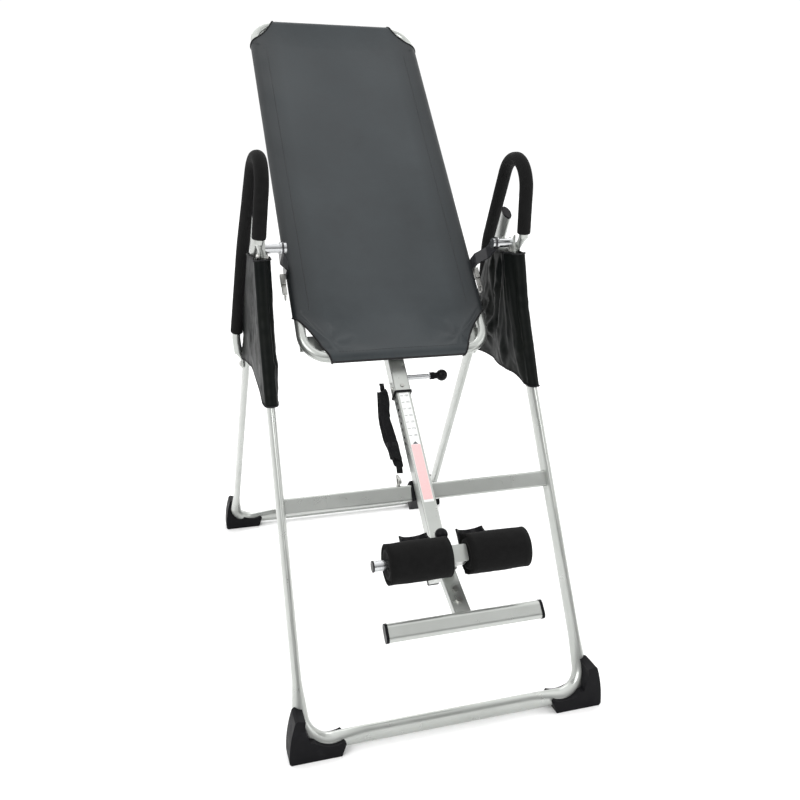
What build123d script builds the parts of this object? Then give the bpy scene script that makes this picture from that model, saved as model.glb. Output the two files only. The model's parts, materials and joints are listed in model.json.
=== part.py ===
from build123d import *
import math
import os

# Inversion table.  Millimetres, +Z up, front of the machine towards -Y, user's left-right is X.
# The origin is on the floor under the middle of the footprint.

# ---- base frame ----
FRONT_BAR_Y = -573.6
REAR_BAR_Y = 642.9
BAR_Z = 26.0
FRONT_BAR_HALF = 330.0
FRONT_TOP_HALF = 321.5
REAR_BAR_HALF = 356.2
REAR_TOP_HALF = 318.3
APEX_Y = -41.0
APEX_Z = 1057.9
FRONT_LEG_END = 0.847
REAR_LEG_END = 1.031
LEG_THIN = 10.0
LEG_WIDE = 23.0
BEND_TUBE = 17.0
BAR_DEEP = 12.0
BAR_TALL = 20.5
BEND_RADIUS = 62.0
SWAGE_LENGTH = 70.0
TUBE_WALL = 1.5
CROSSBAR_AT = 0.4317
CROSSBAR_TALL = 38.0
CROSSBAR_DEEP = 20.0
CROSSBAR_WALL = 1.5
CROSSBAR_ROUND = 5.0
FOOT_DEPTH = 51.0
FOOT_OUT = 32.5
FOOT_LENGTH = 122.0
FOOT_HEIGHT = 104.0

# ---- fold hinge and bed pivot ----
HINGE_Y = -121.0
HINGE_Z = 1003.0
PIVOT_Y = -114.7
PIVOT_Z = 1020.4
PIN_RADIUS = 11.0
PIN_FIT = 0.05
HINGE_BOLT = 4.0
CRADLE_X = 308.5
CRADLE_THICK = 5.0
EAR_X = 314.0
EAR_THICK = 4.0
HANDLE_END_X = 318.5
HANDLE_END_THICK = 5.0

# ---- bed ----
LEAN = 41.0
PIVOT_RISE = 125.6
BED_HALF = 243.5
BED_HEAD = 887.0
BED_FOOT = -240.0
BED_TUBE = 12.5
BED_WALL = 1.2
BED_CORNER = 62.0

# ---- beam, boom and ankle clamp ----
BOOM_TILT = 4.0
BEAM_END_S = -315.98
BEAM_END_N = -46.44
BEAM_SIZE = 40.0
BEAM_WALL = 1.5
BEAM_LENGTH = 468.0
BOOM_SIZE = 35.0
BOOM_WALL = 2.5
BOOM_INSIDE = 268.0
BOOM_OUT = 384.0
HOLE_PITCH = 18.0
HOLE_RADIUS = 4.2
HEIGHT_PIN_U = -46.0
CLAMP_S = -760.0
AXLE_N = 100.0
SLEEVE_SIZE = 30.0
STEM_SIZE = 25.0
AXLE_RADIUS = 11.0
ROLLER_RADIUS = 42.5
ROLLER_IN = 20.0
ROLLER_OUT = 151.0
KNOB_RADIUS = 14.5

os.makedirs("parts", exist_ok=True)


def save(builder, name):
    builder.part.label = name
    export_step(builder.part, f"parts/{name}.step")


def keep_largest(builder):
    """The biggest solid of a part, without the slivers a cut left behind."""
    with BuildPart() as kept:
        add(builder.part.solids().sort_by(SortBy.VOLUME)[-1])
    return kept


def save_pair(builder, name):
    """Writes the +X piece and its mirror image."""
    save(builder, f"{name}_right")
    with BuildPart() as twin:
        mirror(objects=builder.part, about=Plane.YZ)
    save(twin, f"{name}_left")


def save_both(builder, name):
    """Writes the +X piece and its mirror image as two solids of one node."""
    with BuildPart() as both:
        add(builder.part)
        mirror(objects=builder.part, about=Plane.YZ)
    save(both, name)


# Bed plane: local x is X, local y runs up the backrest, local z points to the user.
lean = math.radians(LEAN)
bed_up = Vector(0, math.sin(lean), math.cos(lean))
bed_normal = Vector(0, -math.cos(lean), math.sin(lean))
pivot = Vector(0, PIVOT_Y, PIVOT_Z)
bed_origin = pivot - bed_normal * PIVOT_RISE
bed_plane = Plane(origin=bed_origin, x_dir=(1, 0, 0), z_dir=bed_normal)

# Boom plane: local z runs down the boom, local y points to the user.
tilt = math.radians(BOOM_TILT)
boom_down = bed_normal * math.sin(tilt) - bed_up * math.cos(tilt)
boom_origin = bed_origin + bed_up * BEAM_END_S + bed_normal * BEAM_END_N
boom_plane = Plane(origin=boom_origin, x_dir=(1, 0, 0), z_dir=boom_down)


def bed_point(x, s, n):
    return bed_origin + Vector(x, 0, 0) + bed_up * s + bed_normal * n


def boom_point(x, n, u):
    return boom_plane.from_local_coords((x, n, u))


# =====================================================================================
# Base frame: two U-shaped tubes.  Each leg is an oval pressed thin across X, each floor
# bar an oval pressed thin along Y, and the bends between them stay round.
# =====================================================================================

def frame_line(bar_y, bar_half, top_half, fraction):
    """Centre of the leg, on the +X side, at a fraction of the way to the crossing point."""
    return Vector(
        bar_half + (top_half - bar_half) * fraction,
        bar_y + (APEX_Y - bar_y) * fraction,
        BAR_Z + (APEX_Z - BAR_Z) * fraction,
    )


def oval_span(start, finish, start_size, finish_size, x_dir, mode):
    """Tube between two points with an oval section at each end."""
    along = (finish - start).normalized()
    ends = []
    for point, size in ((start, start_size), (finish, finish_size)):
        with BuildSketch(Plane(origin=point, x_dir=x_dir, z_dir=along)) as section:
            if abs(size[0] - size[1]) < 0.01:
                Circle(size[0])
            else:
                Ellipse(size[0], size[1])
        ends.append(section.sketch)
    loft(sections=ends, mode=mode)


def u_frame_half(bar_y, bar_half, top_half, end_fraction, shrink, mode, bar_overrun=0.0):
    """The +X half of a U frame, its section reduced by `shrink` all round."""
    corner = Vector(bar_half, bar_y, BAR_Z)
    top = frame_line(bar_y, bar_half, top_half, end_fraction)
    leg_dir = (top - corner).normalized()
    bar_dir = Vector(1, 0, 0)
    turn = leg_dir.get_angle(bar_dir)
    tangent = BEND_RADIUS * math.tan(math.radians(turn / 2))
    bend_low = corner - bar_dir * tangent
    bend_high = corner + leg_dir * tangent
    swage_low = bend_low - bar_dir * SWAGE_LENGTH
    swage_high = bend_high + leg_dir * SWAGE_LENGTH
    leg_side = (bar_dir - leg_dir * bar_dir.dot(leg_dir)).normalized()
    leg_size = (LEG_THIN - shrink, LEG_WIDE - shrink)
    bar_size = (BAR_DEEP - shrink, BAR_TALL - shrink)
    round_size = (BEND_TUBE - shrink, BEND_TUBE - shrink)
    y_dir = Vector(0, 1, 0)
    oval_span(Vector(-bar_overrun, bar_y, BAR_Z), swage_low, bar_size, bar_size, y_dir, mode)
    oval_span(swage_low, bend_low, bar_size, round_size, y_dir, mode)
    with BuildLine() as bend:
        centre = bend_low + (leg_dir - bar_dir * leg_dir.dot(bar_dir)).normalized() * BEND_RADIUS
        middle = centre + (corner - centre).normalized() * BEND_RADIUS
        ThreePointArc(bend_low, middle, bend_high)
    with BuildSketch(Plane(origin=bend_low, x_dir=y_dir, z_dir=bar_dir)) as ring:
        Circle(BEND_TUBE - shrink)
    sweep(sections=ring.sketch, path=bend.wire(), mode=mode)
    oval_span(bend_high, swage_high, round_size, leg_size, leg_side, mode)
    oval_span(swage_high, top, leg_size, leg_size, leg_side, mode)


def u_frame(bar_y, bar_half, top_half, end_fraction, wall):
    """Whole U frame; with wall=0 it is the solid outer shape, used to cut its neighbours."""
    with BuildPart() as frame:
        u_frame_half(bar_y, bar_half, top_half, end_fraction, 0.0, Mode.ADD)
        if wall > 0:
            u_frame_half(bar_y, bar_half, top_half, end_fraction, wall, Mode.SUBTRACT, 1.0)
        mirror(about=Plane.YZ)
    return frame


front_solid = u_frame(FRONT_BAR_Y, FRONT_BAR_HALF, FRONT_TOP_HALF, FRONT_LEG_END, 0)
rear_solid = u_frame(REAR_BAR_Y, REAR_BAR_HALF, REAR_TOP_HALF, REAR_LEG_END, 0)
front_tube = u_frame(FRONT_BAR_Y, FRONT_BAR_HALF, FRONT_TOP_HALF, FRONT_LEG_END, TUBE_WALL)
rear_tube = u_frame(REAR_BAR_Y, REAR_BAR_HALF, REAR_TOP_HALF, REAR_LEG_END, TUBE_WALL)

# Handle bolt hole through each rear leg.
HANDLE_BOLT_Y = 201.0
HANDLE_BOLT_Z = 680.0
HANDLE_BOLT = 4.0
with BuildPart() as rear_base_tube:
    add(rear_tube.part)
    with BuildSketch(Plane.YZ):
        with Locations((HANDLE_BOLT_Y, HANDLE_BOLT_Z)):
            Circle(HANDLE_BOLT + PIN_FIT)
    extrude(amount=400, both=True, mode=Mode.SUBTRACT)
save(rear_base_tube, "rear_base_tube")
save(front_tube, "front_base_tube")


def leg_cap(bar_y, bar_half, top_half, fraction):
    """Plastic plug in the open top of the +X leg."""
    top = frame_line(bar_y, bar_half, top_half, fraction)
    run = (top - frame_line(bar_y, bar_half, top_half, 0)).normalized()
    x_axis = (Vector(1, 0, 0) - run * run.X).normalized()
    cap_plane = Plane(origin=top, x_dir=x_axis, z_dir=run)
    with BuildPart() as cap:
        with BuildSketch(cap_plane):
            Ellipse(LEG_THIN + 0.6, LEG_WIDE + 0.6)
        extrude(amount=4)
        with BuildSketch(cap_plane):
            Ellipse(LEG_THIN - TUBE_WALL - 0.1, LEG_WIDE - TUBE_WALL - 0.1)
        extrude(amount=-14)
    return cap


front_leg_cap = leg_cap(FRONT_BAR_Y, FRONT_BAR_HALF, FRONT_TOP_HALF, FRONT_LEG_END)
save_both(front_leg_cap, "front_leg_caps")
save_both(leg_cap(REAR_BAR_Y, REAR_BAR_HALF, REAR_TOP_HALF, REAR_LEG_END), "rear_leg_caps")


# ---- rubber feet: corner shoes that hug the outside of each bend ----

def corner_foot(bar_y, bar_half, frame_solid):
    """Shoe under and outside the +X bend, cut to the tube it wraps."""
    outer = bar_half + FOOT_OUT
    inner = outer - FOOT_LENGTH
    with BuildPart() as foot:
        with BuildSketch(Plane.XZ.offset(-bar_y - FOOT_DEPTH / 2)):
            with BuildLine():
                base = Line((inner + 10, 0), (outer - 4, 0))
                heel = Line(base @ 1, (outer, 5))
                back = ThreePointArc(heel @ 1, (outer - 4, 55), (outer - 15, FOOT_HEIGHT - 4))
                tip = Line(back @ 1, (outer - 20, FOOT_HEIGHT))
                lip = Line(tip @ 1, (bar_half - 4, FOOT_HEIGHT - 4))
                down = Line(lip @ 1, (bar_half - 12, BAR_Z + 20))
                along = Line(down @ 1, (inner + 6, BAR_Z + 10))
                nose = Line(along @ 1, (inner, BAR_Z + 2))
                Line(nose @ 1, base @ 0)
            make_face()
            with Locations((bar_half - BEND_RADIUS, BAR_Z + BEND_RADIUS)):
                Circle(BEND_RADIUS - 3, mode=Mode.SUBTRACT)
        extrude(amount=FOOT_DEPTH)
        add(frame_solid.part, mode=Mode.SUBTRACT)
    return foot


save_pair(corner_foot(FRONT_BAR_Y, FRONT_BAR_HALF, front_solid), "front_foot")
save_pair(corner_foot(REAR_BAR_Y, REAR_BAR_HALF, rear_solid), "rear_foot")


# ---- crossbar welded between the front legs, with its pressed marks, rubber cradle and ring ----

crossbar_centre = frame_line(FRONT_BAR_Y, FRONT_BAR_HALF, FRONT_TOP_HALF, CROSSBAR_AT)
front_run = Vector(0, APEX_Y - FRONT_BAR_Y, APEX_Z - BAR_Z).normalized()
crossbar_plane = Plane(origin=(0, crossbar_centre.Y, crossbar_centre.Z), x_dir=front_run, z_dir=(1, 0, 0))
crossbar_face = Plane(crossbar_plane.origin, x_dir=(1, 0, 0), z_dir=(0, -front_run.Z, front_run.Y))
CROSSBAR_REACH = crossbar_centre.X
with BuildPart() as crossbar:
    with BuildSketch(crossbar_plane):
        RectangleRounded(CROSSBAR_TALL, CROSSBAR_DEEP, CROSSBAR_ROUND)
    extrude(amount=CROSSBAR_REACH, both=True)
    with BuildSketch(crossbar_plane):
        RectangleRounded(
            CROSSBAR_TALL - 2 * CROSSBAR_WALL, CROSSBAR_DEEP - 2 * CROSSBAR_WALL,
            CROSSBAR_ROUND - CROSSBAR_WALL,
        )
    extrude(amount=CROSSBAR_REACH, both=True, mode=Mode.SUBTRACT)
    with BuildSketch(crossbar_face.offset(CROSSBAR_DEEP / 2)):
        for side in (-1, 1):
            with Locations((side * 190, 0)):
                Ellipse(15, 7)
            with Locations((side * 225, 0)):
                Rectangle(5, CROSSBAR_TALL - 10)
    extrude(amount=-0.8, mode=Mode.SUBTRACT)
    add(front_solid.part, mode=Mode.SUBTRACT)
crossbar_piece = keep_largest(crossbar)
save(crossbar_piece, "crossbar")

# Rubber rest for the boom: a block pushed over the crossbar, with a flat front face.
rest_u = (crossbar_plane.origin - boom_origin).dot(boom_down)
REST_GAP = 0.5
REST_HALF = 24.0
REST_DEEP = 54.0
REST_TALL = 50.0
with BuildPart() as crossbar_cradle:
    with BuildSketch(Plane(origin=boom_point(0, 0, rest_u), x_dir=(1, 0, 0), z_dir=boom_down)):
        with Locations((0, -(BOOM_SIZE + REST_DEEP) / 2 - REST_GAP)):
            RectangleRounded(2 * REST_HALF, REST_DEEP, 4)
    extrude(amount=REST_TALL / 2, both=True)
    with BuildSketch(crossbar_plane):
        RectangleRounded(CROSSBAR_TALL, CROSSBAR_DEEP, CROSSBAR_ROUND)
    extrude(amount=REST_HALF + 1, both=True, mode=Mode.SUBTRACT)
save(crossbar_cradle, "crossbar_cradle")

# Wire ring for the tether, standing on the crossbar beside the cradle.
RING_X = -50.0
RING_RADIUS = 9.0
RING_WIRE = 1.8
ring_foot = crossbar_plane.from_local_coords((CROSSBAR_TALL / 2, 0, RING_X))
with BuildPart() as tether_ring:
    with BuildSketch(Plane(origin=ring_foot, x_dir=(0, 0, 1), z_dir=(1, 0, 0))):
        with Locations((RING_RADIUS + 3, 0)):
            Circle(RING_RADIUS + RING_WIRE)
            Circle(RING_RADIUS - RING_WIRE, mode=Mode.SUBTRACT)
    extrude(amount=RING_WIRE, both=True)
    with BuildSketch(Plane(origin=ring_foot, x_dir=(1, 0, 0), z_dir=front_run)):
        Circle(4.5)
    extrude(amount=5)
    add(crossbar_piece.part, mode=Mode.SUBTRACT)
save(tether_ring, "tether_ring")


# =====================================================================================
# Pivot cradles, fold hinge, handles and folding braces.  Built on +X and mirrored.
# =====================================================================================

def leg_spot(z_low):
    """Y of the front leg centre at a height."""
    return FRONT_BAR_Y + (APEX_Y - FRONT_BAR_Y) * (z_low - BAR_Z) / (APEX_Z - BAR_Z)


with BuildPart() as pivot_cradle:
    with BuildSketch(Plane.YZ.offset(CRADLE_X)):
        with BuildLine():
            Polyline(
                (leg_spot(800) - 15, 808), (leg_spot(893) - 15, 901), (HINGE_Y - 17, HINGE_Z - 4),
                (HINGE_Y + 18, HINGE_Z), (leg_spot(893) + 17, 890), (leg_spot(800) + 15, 792), close=True,
            )
        make_face()
        with Locations((HINGE_Y, HINGE_Z)):
            Circle(16)
        with Locations((PIVOT_Y, PIVOT_Z)):
            Circle(PIN_RADIUS + 6)
        with BuildLine():
            Polyline(
                (PIVOT_Y - 17, PIVOT_Z - 10), (PIVOT_Y - 17, PIVOT_Z + 20), (PIVOT_Y - 9, PIVOT_Z + 2),
                close=True,
            )
        make_face()
        with Locations((PIVOT_Y, PIVOT_Z)):
            Circle(PIN_RADIUS + PIN_FIT, mode=Mode.SUBTRACT)
        with Locations((PIVOT_Y, PIVOT_Z + 15)):
            Rectangle(2 * (PIN_RADIUS + PIN_FIT), 30, mode=Mode.SUBTRACT)
        with Locations((HINGE_Y, HINGE_Z)):
            Circle(HINGE_BOLT + PIN_FIT, mode=Mode.SUBTRACT)
    extrude(amount=CRADLE_THICK)
    add(front_solid.part, mode=Mode.SUBTRACT)
    add(front_leg_cap.part, mode=Mode.SUBTRACT)
save_both(pivot_cradle, "pivot_cradles")

with BuildPart() as hinge_ear:
    with BuildSketch(Plane.YZ.offset(EAR_X)):
        with BuildLine():
            Polyline(
                (HINGE_Y, HINGE_Z + 12), (HINGE_Y + 95, HINGE_Z + 30), (HINGE_Y + 100, HINGE_Z - 26),
                (HINGE_Y, HINGE_Z - 12), close=True,
            )
        make_face()
        with Locations((HINGE_Y, HINGE_Z)):
            Circle(12)
            Circle(HINGE_BOLT + PIN_FIT, mode=Mode.SUBTRACT)
    extrude(amount=EAR_THICK)
    add(rear_solid.part, mode=Mode.SUBTRACT)
save_both(keep_largest(hinge_ear), "hinge_ears")

NUT_THICK = 6.5
NUT_HALF = 6.5
BOLT_HEAD = 8.0
BOLT_HEAD_TALL = 4.5
BOLT_HEAD_TAPER = 25
with BuildPart() as hinge_bolt:
    with BuildSketch(Plane.YZ.offset(CRADLE_X - NUT_THICK - 1)):
        with Locations((HINGE_Y, HINGE_Z)):
            Circle(HINGE_BOLT)
    extrude(amount=HANDLE_END_X + HANDLE_END_THICK + 0.4 - CRADLE_X + NUT_THICK + 1)
    with BuildSketch(Plane.YZ.offset(HANDLE_END_X + HANDLE_END_THICK + 0.4)):
        with Locations((HINGE_Y, HINGE_Z)):
            Circle(BOLT_HEAD)
    extrude(amount=BOLT_HEAD_TALL, taper=BOLT_HEAD_TAPER)
save_both(hinge_bolt, "hinge_bolts")

with BuildPart() as hinge_nut:
    with BuildSketch(Plane.YZ.offset(CRADLE_X - NUT_THICK)):
        with Locations((HINGE_Y, HINGE_Z)):
            RegularPolygon(NUT_HALF, 6, major_radius=False, rotation=30)
            Circle(HINGE_BOLT + PIN_FIT, mode=Mode.SUBTRACT)
    extrude(amount=NUT_THICK)
save_both(hinge_nut, "hinge_nuts")

# ---- handles: one bent tube a side, flattened at both ends, with a foam grip ----
HANDLE_TUBE = 11.0
HANDLE_WALL = 1.5
HANDLE_EYE = 12.0
GRIP_RADIUS = 16.5
REAR_PLATE_X = 342.4
REAR_PLATE_THICK = 5.0
REAR_FLAT_Z = 694.0
TAPER_START = 5.0
TAPER_RADIUS = HANDLE_TUBE - 0.3
handle_start = Vector(325.5, -152.3, 1034.9)
handle_corners = [
    Vector(311.5, -190, 1223), Vector(318, -61, 1223), Vector(336, 104, 1004), Vector(358, 185, 756),
]
handle_finish = Vector(353, 198, 712)
handle_bends = [62, 80, 220, 110]
grip_start = handle_start + (handle_corners[0] - handle_start) * 0.055
handle_plate_centre = HANDLE_END_X + HANDLE_END_THICK / 2

with BuildPart() as handle_tube:
    with BuildLine() as handle_path:
        FilletPolyline(handle_start, *handle_corners, handle_finish, radius=handle_bends)
    handle_wire = handle_path.wire()
    handle_start_plane = Plane(origin=handle_wire @ 0, z_dir=handle_wire % 0)
    with BuildSketch(handle_start_plane) as outer_ring:
        Circle(HANDLE_TUBE)
    sweep(sections=outer_ring.sketch, path=handle_wire)
    toward_hinge = Vector(0, HINGE_Y - handle_start.Y, HINGE_Z - handle_start.Z).normalized()
    flat_length = HANDLE_EYE + 4
    flat_start = Vector(handle_plate_centre, HINGE_Y, HINGE_Z) - toward_hinge * flat_length
    start_run = handle_wire % 0
    taper_size = (TAPER_RADIUS, TAPER_RADIUS)
    oval_span(
        handle_start + start_run * TAPER_START, flat_start, taper_size, (HANDLE_END_THICK / 2, HANDLE_EYE),
        Vector(1, 0, 0), Mode.ADD,
    )
    flat_angle = math.degrees(math.atan2(toward_hinge.Z, toward_hinge.Y))
    with BuildSketch(Plane.YZ.offset(HANDLE_END_X)) as front_eye:
        with Locations((HINGE_Y, HINGE_Z)):
            Circle(HANDLE_EYE)
        with Locations(Location((flat_start.Y, flat_start.Z), flat_angle)):
            with Locations((flat_length / 2, 0)):
                Rectangle(flat_length, 2 * HANDLE_EYE)
    extrude(front_eye.sketch, amount=HANDLE_END_THICK)
    rear_flat_start = Vector(REAR_PLATE_X + REAR_PLATE_THICK / 2, HANDLE_BOLT_Y - 0.5, REAR_FLAT_Z)
    finish_run = handle_wire % 1
    oval_span(
        handle_finish - finish_run * TAPER_START, rear_flat_start, taper_size,
        (REAR_PLATE_THICK / 2, HANDLE_EYE), Vector(1, 0, 0), Mode.ADD,
    )
    with BuildSketch(Plane.YZ.offset(REAR_PLATE_X)) as rear_eye:
        with Locations((HANDLE_BOLT_Y, HANDLE_BOLT_Z)):
            Circle(HANDLE_EYE)
        with Locations((rear_flat_start.Y, (HANDLE_BOLT_Z + REAR_FLAT_Z) / 2)):
            Rectangle(2 * HANDLE_EYE, REAR_FLAT_Z - HANDLE_BOLT_Z)
    extrude(rear_eye.sketch, amount=REAR_PLATE_THICK)
    with BuildSketch(handle_start_plane) as bore_ring:
        Circle(HANDLE_TUBE - HANDLE_WALL)
    sweep(sections=bore_ring.sketch, path=handle_wire, mode=Mode.SUBTRACT)
    with BuildSketch(Plane.YZ.offset(REAR_PLATE_X - 40)) as bolt_holes:
        with Locations((HINGE_Y, HINGE_Z), (HANDLE_BOLT_Y, HANDLE_BOLT_Z)):
            Circle(HANDLE_BOLT + PIN_FIT)
    extrude(bolt_holes.sketch, amount=80, mode=Mode.SUBTRACT)
save_pair(keep_largest(handle_tube), "handle_tube")

grip_finish = handle_corners[2] + (handle_corners[3] - handle_corners[2]) * 0.935
with BuildPart() as handle_grip:
    with BuildLine() as grip_path:
        FilletPolyline(grip_start, *handle_corners[:3], grip_finish, radius=handle_bends[:3])
    grip_wire = grip_path.wire()
    for radius, mode in ((GRIP_RADIUS, Mode.ADD), (HANDLE_TUBE + 0.05, Mode.SUBTRACT)):
        with BuildSketch(Plane(origin=grip_wire @ 0, z_dir=grip_wire % 0)) as ring:
            Circle(radius)
        sweep(sections=ring.sketch, path=grip_wire, mode=mode)
save_pair(handle_grip, "handle_grip")

HANDLE_NUT_X = 315.0
with BuildPart() as handle_bolt:
    with BuildSketch(Plane.YZ.offset(REAR_PLATE_X + REAR_PLATE_THICK)):
        with Locations((HANDLE_BOLT_Y, HANDLE_BOLT_Z)):
            Circle(BOLT_HEAD)
    extrude(amount=BOLT_HEAD_TALL, taper=BOLT_HEAD_TAPER)
    with BuildSketch(Plane.YZ.offset(HANDLE_NUT_X - 1)):
        with Locations((HANDLE_BOLT_Y, HANDLE_BOLT_Z)):
            Circle(HANDLE_BOLT)
    extrude(amount=REAR_PLATE_X + REAR_PLATE_THICK - HANDLE_NUT_X + 1)
    with BuildSketch(Plane.YZ.offset(HANDLE_NUT_X)):
        with Locations((HANDLE_BOLT_Y, HANDLE_BOLT_Z)):
            RegularPolygon(NUT_HALF, 6, major_radius=False)
    extrude(amount=NUT_THICK)
save_both(handle_bolt, "handle_bolts")

# ---- folding braces between the legs, one pair a side, hidden by the covers ----
BRACE_Z = 760.0
BRACE_LENGTH = 178.0
BRACE_WIDTH = 22.0
FRONT_BRACE_X = 303.0
REAR_BRACE_X = 298.0
BRACE_THICK = 4.0
BRACE_PIN = 7.0
BRACE_GAP = 0.7
KNEE_PIN = BRACE_THICK + 1.5
front_brace_y = leg_spot(BRACE_Z)
rear_brace_y = REAR_BAR_Y + (APEX_Y - REAR_BAR_Y) * (BRACE_Z - BAR_Z) / (APEX_Z - BAR_Z)
brace_span = rear_brace_y - front_brace_y
knee_z = BRACE_Z + math.sqrt(BRACE_LENGTH**2 - (brace_span / 2) ** 2)
knee = (front_brace_y + brace_span / 2, knee_z)


def brace(x, leg_face, anchor_y, knee_reach):
    """Flat bar from a leg to the knee, with a pin that stops just short of the leg's inner face."""
    centre = ((anchor_y + knee[0]) / 2, (BRACE_Z + knee[1]) / 2)
    angle = math.degrees(math.atan2(knee[1] - BRACE_Z, knee[0] - anchor_y))
    with BuildPart() as bar:
        with BuildSketch(Plane.YZ.offset(x)) as flat:
            with Locations(Location(centre, angle)):
                SlotCenterToCenter(BRACE_LENGTH, BRACE_WIDTH)
        extrude(flat.sketch, amount=BRACE_THICK)
        with BuildSketch(Plane.YZ.offset(x - 2)) as leg_pin:
            with Locations((anchor_y, BRACE_Z)):
                Circle(BRACE_PIN)
        extrude(leg_pin.sketch, amount=leg_face - BRACE_GAP - x + 2)
        with BuildSketch(Plane.YZ.offset(x)) as knee_pin:
            with Locations(knee):
                Circle(BRACE_PIN)
        extrude(knee_pin.sketch, amount=knee_reach)
    return bar


brace_share = (BRACE_Z - BAR_Z) / (APEX_Z - BAR_Z)
front_leg_face = frame_line(FRONT_BAR_Y, FRONT_BAR_HALF, FRONT_TOP_HALF, brace_share).X - LEG_THIN
rear_leg_face = frame_line(REAR_BAR_Y, REAR_BAR_HALF, REAR_TOP_HALF, brace_share).X - LEG_THIN
save_both(brace(FRONT_BRACE_X, front_leg_face, front_brace_y, KNEE_PIN), "front_braces")
save_both(brace(REAR_BRACE_X, rear_leg_face, rear_brace_y, BRACE_THICK - KNEE_PIN), "rear_braces")

# ---- nylon covers: a flat sleeve round both legs of each side ----
COVER_TOP = 996.0
COVER_LOW = 697.0
COVER_IN = 293.0
COVER_THICK = 1.6
COVER_ROUND = 9.0
COVER_HEM = (-281.0, 234.0, 347.5)
COVER_NECK = (-168.0, 32.0, 336.0)


def cover_section(z, limits, shrink):
    """Outline of the sleeve at a height, from its front, rear and outer limits."""
    front, rear, outer = limits
    with BuildSketch(Plane.XY.offset(z)) as section:
        with Locations(((COVER_IN + outer) / 2, (front + rear) / 2)):
            RectangleRounded(outer - COVER_IN - 2 * shrink, rear - front - 2 * shrink, COVER_ROUND - shrink)
    return section.sketch


with BuildPart() as side_cover:
    for shrink, mode, spare in ((0, Mode.ADD, 0), (COVER_THICK, Mode.SUBTRACT, 0.01)):
        loft(
            sections=[
                cover_section(COVER_LOW - spare, COVER_HEM, shrink),
                cover_section(COVER_TOP + spare, COVER_NECK, shrink),
            ],
            mode=mode,
        )
    with BuildLine() as clear_path:
        past_finish = handle_finish + (handle_finish - handle_corners[3]).normalized() * 30
        FilletPolyline(grip_start, *handle_corners, past_finish, radius=handle_bends)
    clear_wire = clear_path.wire()
    with BuildSketch(Plane(origin=clear_wire @ 0, z_dir=clear_wire % 0)) as clear_ring:
        Circle(GRIP_RADIUS + 1)
    sweep(sections=clear_ring.sketch, path=clear_wire, mode=Mode.SUBTRACT)
save_pair(keep_largest(side_cover), "side_cover")


# =====================================================================================
# Bed: tube loop, fabric, two bent straps, beam with its bushing, pivot arms and locks.
# =====================================================================================
BED_CENTRE_HALF = BED_HALF - BED_TUBE
BED_LOW = BED_FOOT + BED_TUBE
BED_HIGH = BED_HEAD - BED_TUBE


def bed_loop_half(radius, mode):
    """+X half of the bed's tube loop, from the middle of its lower end to the middle of its head."""
    with BuildLine(bed_plane) as loop:
        FilletPolyline(
            (0, BED_LOW), (BED_CENTRE_HALF, BED_LOW), (BED_CENTRE_HALF, BED_HIGH), (0, BED_HIGH),
            radius=BED_CORNER,
        )
    with BuildSketch(Plane(origin=loop.wire() @ 0, z_dir=loop.wire() % 0)) as ring:
        Circle(radius)
    sweep(sections=ring.sketch, path=loop.wire(), mode=mode)


with BuildPart() as bed_tube:
    bed_loop_half(BED_TUBE, Mode.ADD)
    bed_loop_half(BED_TUBE - BED_WALL, Mode.SUBTRACT)
    mirror(about=Plane.YZ)
save(bed_tube, "bed_tube")

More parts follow.
